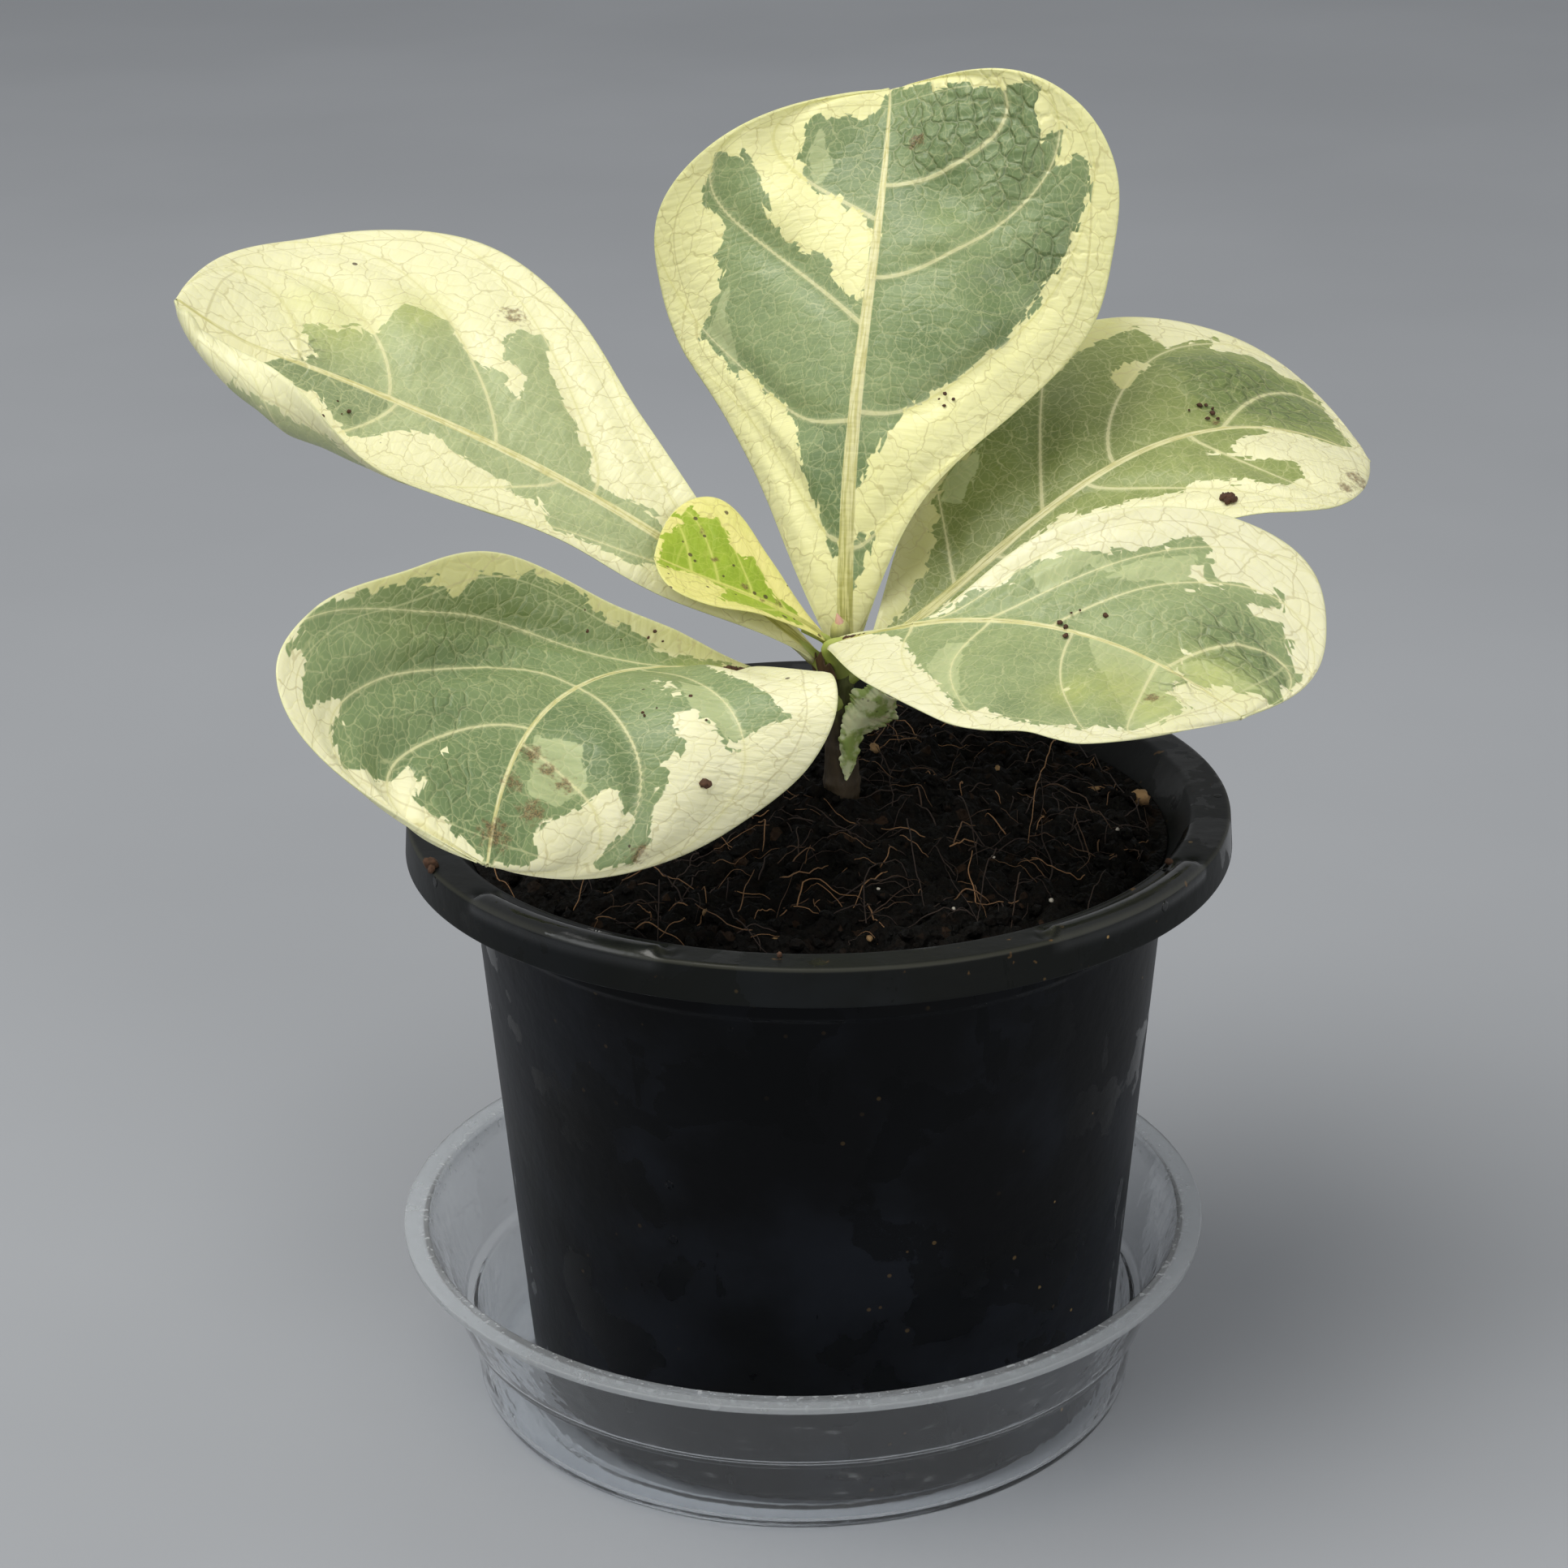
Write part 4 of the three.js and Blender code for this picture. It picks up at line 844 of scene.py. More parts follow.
class LeafFinish(Finish):
    """A waxy leaf: green on cream with ragged borders, veins, a fine raised net, dirt and scars. Its
    tones are the cream, the green, the dark and the pale green, and the veins' colour."""

    def __init__(self, name, tones, specks, settings):
        super().__init__(name, Subsurface_Weight=settings.translucency, Subsurface_Scale=0.0012)
        self.put("Subsurface Radius", (1.0, 1.0, 0.3))
        self.cream, self.green, self.dark, self.pale, self.vein = tones
        self.flat = self.node("ShaderNodeUVMap", uv_map="lamina")
        self.drift = self.vector("SUBTRACT", self.noise(self.flat, 5.0, 1.0, 1, True), (0.5, 0.5, 0.5))
        laid = self.vector("MULTIPLY", self.drifted(0.12), (1.0, 0.8, 1.0))
        self.fine = self.cells(laid, 8.5, "DISTANCE_TO_EDGE", flat=True)
        self.middling = self.cells(laid, 3.4, "DISTANCE_TO_EDGE", flat=True)
        self.number = self.cells(laid, 8.5, output=1, flat=True)
        self.broad_number = self.cells(laid, 3.4, output=1, flat=True)
        self.cloud = self.noise(self.flat, 1.6, 4.0, flat=True)
        self.silk = self.noise(self.stretched(1.3, 7.0), 1.0, 2.0, flat=True)
        self.on_middling = self.ramp(self.middling, 0.045, 0.012)
        self.pucker, self.lime = self.field("pucker"), self.field("lime")
        # Patches of painted shade: the green and the cream turn olive there.
        self.painted_shade_tint = self.ramp(self.field("painted_shade_tint"), -5.0, 4.0)
        on_patch, is_pale, is_dark = self.patches()
        colour = self.mix(on_patch, self.cream_tone(), self.green_tone(is_pale, is_dark))
        colour = self.specked(self.scarred(self.edged(self.veined(colour, on_patch))), specks)
        self.put("Base Color", colour)
        self.put("Roughness", self.ramp(self.cloud, 0.2, 0.8, settings.gloss - 0.06, settings.gloss + 0.1))
        quilted = self.times(self.ramp(self.middling, 0.0, 0.2), self.plus(0.15, self.pucker))
        self.bump(self.plus(quilted, self.times(self.silk, 0.6)), 0.0003)

    def drifted(self, reach):
        """The blade's own place, pushed about softly by up to half the reach."""
        return self.vector("ADD", self.flat, self.vector("MULTIPLY", self.drift, (reach, reach, 0.0)))

    def stretched(self, x, y):
        """The blade's own place, multiplied across and along."""
        return self.vector("MULTIPLY", self.flat, (x, y, 1.0))

    def patches(self):
        """Where the leaf is green, pale and dark. Cells of two sizes make the depths in the patches
        ragged, and green and paler patches that touch have no cream between them."""
        ragged = self.plus(self.times(self.minus(self.number, 0.5), 1.1),
                           self.times(self.minus(self.broad_number, 0.5), 2.2))
        green, pale = self.field("green"), self.field("pale")
        touching = self.plus(self.times(self.plus(green, pale), 0.5), 1.6)
        patch = self.larger(self.larger(green, pale), touching)
        return (self.ramp(self.plus(patch, ragged), -0.12, 0.12),
                self.ramp(self.plus(pale, self.times(ragged, 0.6)), -0.15, 0.15),
                self.ramp(self.plus(self.field("dark"), ragged), -0.5, 0.5))

    def green_tone(self, is_pale, is_dark):
        """Cloudy green that changes from cell to cell, with pale nets. Painted shade darkens it at puckers
        and shade marks and in the grooves of puckers, and tints it olive in the patches of painted shade.
        """
        green, dark, vein = self.green, self.dark, self.vein
        cloudy = self.ramp(self.cloud, 0.3, 0.75)
        tone = self.mix(cloudy, between(green, dark, 0.22), between(green, self.pale, 0.15))
        tone = self.lay(tone, between(green, dark, 0.7), self.ramp(self.number, 0.2, 0.8), 0.16)
        tone = self.lay(tone, dark, is_dark, 0.7)
        # Painted shade: darker green at puckers and round the shade marks.
        tone = self.lay(tone, dark, self.larger(self.pucker, self.field("shade")), 0.72)
        # Painted shade: olive green in the patches of painted shade.
        tone = self.lay(tone, paint(112, 126, 64), self.painted_shade_tint, 0.5)
        tone = self.mix(is_pale, tone, self.pale)
        tone = self.lay(tone, paint(186, 192, 104), self.lime, 0.6)
        tone = self.mix(self.ramp(self.silk, 0.3, 0.7, 0.0, 0.22), tone, between(green, dark, 0.75))
        tone = self.lay(tone, between(green, vein, 0.5), self.ramp(self.fine, 0.1, 0.02), 0.25)
        tone = self.lay(tone, between(green, vein, 0.7), self.on_middling, 0.3)
        # Painted shade in the grooves between a pucker's raised cells.
        groove = self.times(self.ramp(self.middling, 0.13, 0.02), self.ramp(self.pucker, 0.15, 0.7))
        return self.lay(tone, between(dark, paint(44, 60, 34), 0.5), groove, 0.42)

    def cream_tone(self):
        """Cloudy cream that is yellower where it is lime and along the net, and olive with painted shade
        in the patches of painted shade.
        """
        tone = self.mix(self.ramp(self.cloud, 0.35, 0.7), self.cream, between(self.cream, self.vein, 0.3))
        # Painted shade: olive cream in the patches of painted shade.
        tone = self.lay(tone, paint(188, 188, 108), self.painted_shade_tint, 0.7)
        tone = self.lay(tone, paint(208, 210, 126), self.lime, 0.42)
        return self.lay(tone, paint(190, 180, 104), self.on_middling, 0.2)

    def veined(self, colour, on_patch):
        """The colour under the coarse net, the loops inside the margin, the side veins and the rib,
        which are tan on cream and pale on green."""
        cream, vein = self.cream, self.vein
        vein_here = self.mix(on_patch, between(cream, paint(190, 184, 84), 0.45), vein)
        tan = between(cream, paint(160, 146, 80), 0.62)
        net_here = self.mix(on_patch, tan, between(self.green, vein, 0.6))
        coarse = self.cells(self.drifted(0.17), 1.75, "DISTANCE_TO_EDGE", flat=True)
        on_net = self.times(self.ramp(coarse, 0.034, 0.008), self.ramp(on_patch, 0.0, 1.0, 0.58, 0.3))
        colour = self.mix(on_net, colour, net_here)
        on_loop = self.times(self.ramp(self.math("ABSOLUTE", self.field("loop")), 0.24, 0.06),
                             self.ramp(self.field("along"), 0.25, 0.45))
        colour = self.lay(colour, net_here, on_loop, 0.5)
        phase = self.field("phase")
        off = self.math("ABSOLUTE", self.minus(phase, self.math("ROUND", phase)))
        beyond = self.minus(self.times(off, self.field("pitch")), self.field("vein_width"))
        colour = self.lay(colour, vein_here, self.ramp(beyond, 0.6, 0.05), 0.2)
        colour = self.lay(colour, vein_here, self.ramp(beyond, 0.12, -0.08), 0.66)
        return self.mix(self.ramp(self.field("rib"), 0.15, -0.1), colour, self.rib_tone())

    def rib_tone(self):
        """The rib's colour, streaked along it and greener towards the petiole."""
        streak = self.noise(self.stretched(24.0, 1.5), 1.0, 2.0, flat=True)
        tan = between(self.vein, paint(186, 180, 100), 0.6)
        far = self.mix(self.ramp(streak, 0.4, 0.65), self.vein, tan)
        near = self.mix(self.ramp(streak, 0.35, 0.6), paint(212, 208, 134), paint(170, 168, 86))
        return self.mix(self.ramp(self.field("along"), 0.35, 0.0), far, near)

    def edged(self, colour):
        """The colour with its pale edge, its underside paler, and the petiole's own colour."""
        on_margin = self.ramp(self.field("margin"), 0.5, 0.1)
        colour = self.lay(colour, between(self.cream, paint(215, 220, 150), 0.5), on_margin, 0.7)
        colour = self.lay(colour, between(self.cream, self.green, 0.35), self.field("under"), 0.25)
        petiole = self.mix(self.noise(self.place(), 300.0), paint(150, 172, 70), paint(186, 190, 108))
        return self.mix(self.field("stalk"), colour, petiole)

    def scarred(self, colour):
        """The colour under ragged brown scars."""
        uneven = self.times(self.minus(self.noise(self.flat, 9.0, 2.0, flat=True), 0.5), 1.5)
        scar = self.ramp(self.plus(self.field("brown"), uneven), 0.25, 0.95)
        scar = self.times(scar, self.ramp(self.field("brown"), 0.0, 0.2, 0.0, 0.74))
        mottled = self.ramp(self.noise(self.flat, 34.0, flat=True), 0.4, 0.6)
        return self.mix(scar, colour, self.mix(mottled, paint(74, 52, 34), paint(142, 110, 70)))

    def specked(self, colour, share):
        """The colour under specks of dirt, which lie in this share of small cells."""
        near = self.cells(self.place(), 380.0)
        reach = self.times(self.minus(near.node.outputs[1], 1 - share), 0.26 / share)
        speck = self.ramp(self.minus(near, reach), 0.03, -0.03)
        return self.lay(colour, paint(70, 50, 34), speck, 0.85)


# What every colour setting has.
COLOUR = {"size": 4, "subtype": "COLOR", "min": 0, "max": 1}


class FigLeafSettings(bpy.types.PropertyGroup):
    """Sizes and colours of the leaves."""

    thickness: bpy.props.FloatProperty(
        name="Blade thickness", description="Thickness of a blade away from its veins, in millimetres",
        default=0.5, min=0.3, max=0.8)
    quilting: bpy.props.FloatProperty(
        name="Quilting", description="How far the blade swells between its smaller veins",
        default=1.0, min=0, max=1.5)
    vein_height: bpy.props.FloatProperty(
        name="Side vein height", description="How far a side vein stands out of the blade, in millimetres",
        default=0.14, min=0, max=0.5)
    specks: bpy.props.FloatProperty(
        name="Specks", description="Share of the places for specks of dirt that hold one",
        default=0.12, min=0.01, max=1, subtype="FACTOR")
    gloss: bpy.props.FloatProperty(
        name="Roughness", description="Roughness of the waxy upper face", default=0.42, min=0, max=1,
        subtype="FACTOR")
    translucency: bpy.props.FloatProperty(
        name="Translucency", description="Share of the light that spreads inside the blade",
        default=0.14, min=0, max=1, subtype="FACTOR")
    white_cream: bpy.props.FloatVectorProperty(
        name="White cream", description="Margin of the palest leaves",
        default=paint(238, 235, 200), **COLOUR)
    yellow_cream: bpy.props.FloatVectorProperty(
        name="Yellow cream", description="Margin of the yellowest leaf",
        default=paint(243, 240, 166), **COLOUR)
    cool_green: bpy.props.FloatVectorProperty(
        name="Cool green", description="Green of the leaves in full light",
        default=paint(136, 155, 104), **COLOUR)
    olive_green: bpy.props.FloatVectorProperty(
        name="Olive green", description="Green of the leaves in the shade",
        default=paint(152, 162, 88), **COLOUR)
    vein: bpy.props.FloatVectorProperty(
        name="Veins", description="Rib and veins on green",
        default=paint(226, 222, 170), **COLOUR)
    sage_green: bpy.props.FloatVectorProperty(
        name="Sage green", description="Green of the leaf whose patches are the palest",
        default=paint(182, 192, 142), **COLOUR)
    lime_green: bpy.props.FloatVectorProperty(
        name="Young green", description="Green of the young leaf",
        default=paint(158, 182, 50), **COLOUR)


class FigPotSettings(bpy.types.PropertyGroup):
    """Sizes and colours of the pot and the saucer."""

    sides: bpy.props.IntProperty(
        name="Sides", description="Steps round the pot", default=320, min=96, max=720)
    bar_radius: bpy.props.FloatProperty(
        name="Grip bar radius", description="Radius of the rolled bar in each grip, in millimetres",
        default=2.6, min=1, max=3)
    plastic: bpy.props.FloatVectorProperty(
        name="Pot plastic", description="Colour of the pot",
        default=paint(5, 6, 8), **COLOUR)
    dust: bpy.props.FloatVectorProperty(
        name="Dust", description="Colour of the dried splashes on the pot",
        default=paint(19, 22, 28), **COLOUR)
    clear_plastic: bpy.props.FloatVectorProperty(
        name="Saucer plastic", description="Colour of the clear saucer",
        default=paint(244, 246, 248), **COLOUR)


class FigSoilSettings(bpy.types.PropertyGroup):
    """Sizes and colours of the potting mix."""

    fibres: bpy.props.IntProperty(
        name="Coir fibres", description="Loose fibres scattered over the mix", default=420, min=0, max=600)
    crumbs: bpy.props.IntProperty(
        name="Crumbs", description="Loose crumbs scattered over the mix", default=900, min=0, max=2000)
    mix: bpy.props.FloatVectorProperty(
        name="Mix", description="Colour of the moist mix",
        default=paint(19, 15, 12), **COLOUR)
    fibre: bpy.props.FloatVectorProperty(
        name="Fibre", description="Colour of the palest fibres",
        default=paint(150, 112, 74), **COLOUR)


class FigStageSettings(bpy.types.PropertyGroup):
    """The studio round the plant."""

    floor: bpy.props.FloatVectorProperty(
        name="Floor", description="Colour of the floor",
        default=paint(164, 167, 172), **COLOUR)
    key: bpy.props.FloatProperty(
        name="Key light", description="Power of the large soft light", default=18.5, min=0, unit="POWER")
    fill: bpy.props.FloatProperty(
        name="Fill light", description="Strength of the light from all round", default=0.4, min=0)


def leaf_tones(leaf, settings):
    """A leaf's cream, green, dark, pale and vein colours, from how yellow and how olive it is."""
    cream = between(settings.white_cream, settings.yellow_cream, leaf["yellow"])
    green = between(settings.cool_green, settings.olive_green, leaf["olive"])
    green = between(green, settings.sage_green, leaf["sage"])
    dark = between(green, paint(70, 98, 58), 0.6)
    pale = between(between(green, settings.vein, 0.35), paint(184, 198, 146), 0.5)
    return cream, green, dark, pale, tuple(settings.vein)


class FIG_OT_leaves(bpy.types.Operator):
    """Build the five large leaves"""

    bl_idname = "fig.leaves"
    bl_label = "Large leaves"

    def execute(self, context):
        settings = context.scene.fig_leaves
        for seed, (name, leaf) in enumerate(LEAVES.items()):
            tones = leaf_tones(leaf, settings)
            finish = LeafFinish(name + "_finish", tones, settings.specks, settings).material
            add_leaf(name, leaf, LEAF_ROWS, LEAF_COLUMNS, seed + 3, settings, finish, "leaf_blade")
        return {"FINISHED"}


class FIG_OT_young_leaf(bpy.types.Operator):
    """Build the small young leaf"""

    bl_idname = "fig.young_leaf"
    bl_label = "Young leaf"

    def execute(self, context):
        settings = context.scene.fig_leaves
        green = tuple(settings.lime_green)
        dark = between(green, paint(96, 128, 30), 0.6)
        pale = between(green, paint(220, 225, 90), 0.5)
        tones = (paint(238, 230, 146), green, dark, pale, paint(208, 212, 108))
        finish = LeafFinish("leaf_young_finish", tones, min(1, settings.specks * 6), settings).material
        add_leaf("leaf_young", YOUNG_LEAF, YOUNG_ROWS, YOUNG_COLUMNS, 11, settings, finish, "young_blade")
        return {"FINISHED"}


def bark_finish():
    """Young bark: olive green above, brown and cracked towards the soil."""
    f = Finish("stem_finish", Roughness=0.7)
    at = f.place()
    height = f.node("ShaderNodeSeparateXYZ", {0: at}, 2)
    stretched = f.vector("MULTIPLY", at, (1.0, 1.0, 0.3))
    grain = f.noise(stretched, 900.0, 5.0)
    brown = f.mix(grain, paint(36, 29, 20), paint(78, 64, 42))
    olive = f.mix(grain, paint(72, 78, 38), paint(120, 126, 68))
    bark = f.mix(f.ramp(f.plus(height, f.times(grain, 0.012)), 0.134, 0.15), brown, olive)
    f.put("Base Color", f.mix(f.ramp(height, 0.1465, 0.1495), bark, paint(186, 184, 118)))
    f.bump(grain, 0.0005)
    return f.material


class FIG_OT_stem(bpy.types.Operator):
    """Build the stem, its bud and the brown scale at a petiole"""

    bl_idname = "fig.stem"
    bl_label = "Stem and bud"

    def execute(self, context):
        self.stem()
        self.bud()
        self.scale()
        return {"FINISHED"}

    def stem(self):
        """The stem, whose radius has a low ring at each leaf scar and furrows along the bark."""
        length = STEM_TOP[2] - STEM_FOOT[2]
        share = np.linspace(0, 1, 150)[:, None]
        angle = (np.arange(STEM_SIDES) / STEM_SIDES * TAU)[None]
        rings = sum(0.28 * bell((share - at) / 0.014) for at in LEAF_SCARS)
        furrows = 0.14 * rough(angle * 3.0, share * 26, 5) + 0.1 * rough(angle * 7.0, share * 60, 6)
        radius = smooth_through(STEM_RADII, share) + (rings + furrows) * (1 - 0.5 * share) - 0.15
        height = share * length + 0 * angle
        cap = np.linspace(0, 1, 14)[1:, None]
        top = radius[-1:] * np.cos(cap * np.pi / 2 * 0.97)
        radius = np.concatenate([radius, top])
        height = np.concatenate([height, length + 2.2 * np.sin(cap * np.pi / 2) + 0 * angle])
        points, faces = turned(radius, height, STEM_SIDES)
        points[:, :2] += (STEM_TOP - STEM_FOOT)[:2] * points[:, 2:] / length
        add_piece("stem_fine", points + STEM_FOOT, faces, bark_finish(), "stem_bark", ["stem"])

    def bud(self):
        """A narrow cone of two wrapped scales, whose radius bulges low down and thins to a point."""
        share = np.linspace(0, 1, 40)[:, None]
        angle = (np.arange(BUD_SIDES) / BUD_SIDES * TAU)[None]
        wrap = 0.22 * smooth_step(np.sin(angle + 2.2 * share) * 3)
        radius = 1.75 * np.sin(np.pi * (0.22 + 0.78 * share)) ** 0.8 + wrap * (1 - share)
        radius = np.maximum(radius * (1 - 0.25 * share) * 0.62, 0.05)
        points, faces = turned(radius, share * BUD_LENGTH + 0 * angle, BUD_SIDES)
        lean = np.array(Matrix.Rotation(-14 * DEGREE, 3, "Y"))
        points = points @ lean.T + STEM_TOP + np.array([0.4, -0.4, -0.6])
        f = Finish("bud_finish", Roughness=0.45)
        blush = f.noise(f.place(), 420.0, 3.0)
        f.put("Base Color", f.mix(f.ramp(blush, 0.35, 0.62), paint(214, 206, 150), paint(214, 166, 146)))
        f.bump(blush, 0.0002)
        add_piece("bud", points, faces, f.material, "sheath")

    def scale(self):
        """A dry scale: part of a cone that hugs the stem's front left, ragged at its top."""
        u = np.linspace(0, 1, 30)[:, None]
        w = np.linspace(-1, 1, 25)[None]
        turn = (218 + 42 * w) * DEGREE
        away = 3.4 + 1.6 * u + 0.25 * np.sin(9 * w + 3 * u)
        up = 135.5 + 9.5 * u * (1 - 0.35 * np.abs(w) ** 1.5 + 0.08 * np.sin(11 * w))
        middle = np.stack([4.3 + away * np.cos(turn), 2.9 + away * np.sin(turn), up + 0 * w], -1)
        half = 0.12 * facing(middle)
        add_piece("scale", *closed_sheet(middle + half, middle - half), scale_finish(), "sheath")


def grainy_finish(name, roughness, scale, depth, dark, light):
    """Two tones mixed by a fine noise, which raises the surface too."""
    f = Finish(name, Roughness=roughness)
    grain = f.noise(f.place(), scale, 4.0)
    f.put("Base Color", f.mix(grain, dark, light))
    f.bump(grain, depth)
    return f.material


def scale_finish():
    """Dry brown scale with darker streaks."""
    f = Finish("scale_finish", Roughness=0.6)
    streak = f.noise(f.vector("MULTIPLY", f.place(), (1.0, 1.0, 0.25)), 1500.0, 4.0)
    f.put("Base Color", f.mix(streak, paint(48, 34, 22), paint(112, 84, 54)))
    f.bump(streak, 0.0002)
    return f.material


class FIG_OT_stipule(bpy.types.Operator):
    """Build the torn pale stipule in front of the stem"""

    bl_idname = "fig.stipule"
    bl_label = "Stipule"

    def execute(self, context):
        # It hangs from its broad end down to its tip: a point is on the middle line, plus its side
        # times half the width, bent back like a gutter and ragged at both edges.
        u = np.linspace(0, 1, 90)[:, None]
        w = np.linspace(-1, 1, 45)[None]
        line = [(12.4, -2.6, 137.9), (9.6, -2.4, 134.2), (6.6, -1.5, 130.2), (5.6, -0.9, 125.6),
                (5.1, -0.5, 120.6)]
        line = smooth_through(line, u[:, 0])[:, None]
        width = smooth_through([2.2, 4.4, 3.4, 2.0, 1.6, 0.1], u)
        ragged = 1 + 0.22 * rough(u * 22, w * 0.6 + 4, 8) + 0.12 * rough(u * 60, w + 9, 9)
        side = unit(np.cross(np.gradient(line, axis=0), np.array([0.25, -1.0, 0.1])))
        reach = width * ragged * w
        back = np.array([0.1, 1.0, 0.15]) * (0.55 * width * np.abs(w) ** 1.7
                                             + 0.25 * np.sin(7 * u + 2 * w))[..., None]
        middle = line + side * reach[..., None] + back
        half = 0.18 * facing(middle)
        points, faces = closed_sheet(middle + half, middle - half)
        f = Finish("stipule_finish", Roughness=0.5, Subsurface_Weight=0.15, Subsurface_Scale=0.001)
        at = f.place()
        blotch = f.noise(at, 330.0, 4.0)
        green = f.mix(f.ramp(blotch, 0.45, 0.6), paint(222, 228, 178), paint(158, 180, 96))
        speck = f.ramp(f.cells(at, 700.0), 0.2, 0.1)
        f.put("Base Color", f.mix(f.times(speck, 0.5), green, paint(70, 60, 36)))
        f.bump(blotch, 0.0004)
        add_piece("stipule_fine", points, faces, f.material, "sheath", ["stipule"])
        return {"FINISHED"}


def soil_height(x, y):
    """The mix's smooth top: level at the pot and rising to a mound round the stem, with lumps."""
    away = np.hypot(x - STEM_FOOT[0], y - STEM_FOOT[1]) / 26
    lumps = (0.9 * np.sin(x * 0.31 + 1.3) * np.sin(y * 0.27) + 0.6 * np.sin(x * 0.67 - y * 0.52 + 2)
             + 0.35 * np.sin(x * 1.1 + y * 1.3))
    return SOIL_EDGE + 5.5 * bell(away) + lumps


def crumbly_height(x, y):
    """The mix's crumbly top: the smooth top, plus soft relief in three sizes and rounded crumbs of
    three sizes, each as high as the square root of the room left in its cell."""
    height = soil_height(x, y)
    for size, high, seed in ((9.0, 0.8, 21), (3.6, 0.7, 22), (1.5, 0.3, 23)):
        height = height + high * rough(x / size, y / size, seed)
    for size, high, seed in ((5.0, 1.5, 31), (2.6, 1.0, 32), (1.5, 0.55, 33)):
        _, number, near = cell_net(x / size, y / size, seed)
        height = height + high * number * np.sqrt(np.maximum(0, 1 - (near * 1.9) ** 2))
    return height


def blobs(centres, sizes, seed, sides=7, rings=4):
    """Small rounded lumps: rings of latitude whose radius is made uneven by a random number for
    each point. Every lump is flattened, turned and scaled in its own way."""
    random = np.random.default_rng(seed)
    latitude = (np.arange(rings) + 0.5) / rings * np.pi - np.pi / 2
    longitude = np.arange(sides) / sides * TAU
    out, up = np.cos(latitude)[:, None], np.sin(latitude)[:, None]
    ring = np.stack([out * np.cos(longitude), out * np.sin(longitude), up + 0 * longitude], -1)
    made = []
    for centre, size in zip(centres, sizes):
        uneven = ring * (0.75 + 0.5 * random.random((rings, sides, 1)))
        stretch = np.array([1, 0.6 + 0.5 * random.random(), 0.5 + 0.4 * random.random()]) * size
        turn = Matrix.Rotation(random.random() * TAU, 3, "Z")
        tilt = Matrix.Rotation(random.random() - 0.5, 3, "X")
        shape = (uneven * stretch) @ np.array(turn @ tilt).T + centre
        low, high = shape[0].mean(0), shape[-1].mean(0)
        made.append(closed_rings(shape, low, high))
    return joined(made)


def soil_finish(settings):
    """Moist peat: near-black with browner crumbs and a few fibres' worth of red."""
    f = Finish("soil_finish", Specular_IOR_Level=0.12)
    at = f.place()
    grain = f.noise(at, 420.0, 6.0)
    crumb = f.cells(at, 520.0, output=1)
    wet = between(settings.mix, paint(2, 2, 1), 0.85)
    base = f.mix(f.ramp(grain, 0.42, 0.72), wet, tuple(settings.mix))
    base = f.lay(base, paint(64, 46, 32), f.ramp(crumb, 0.8, 0.97), 0.5)
    f.put("Base Color", base)
    f.put("Roughness", f.ramp(grain, 0.3, 0.7, 0.6, 0.95))
    f.bump(f.plus(grain, f.cells(at, 900.0)), 0.0008)
    return f.material


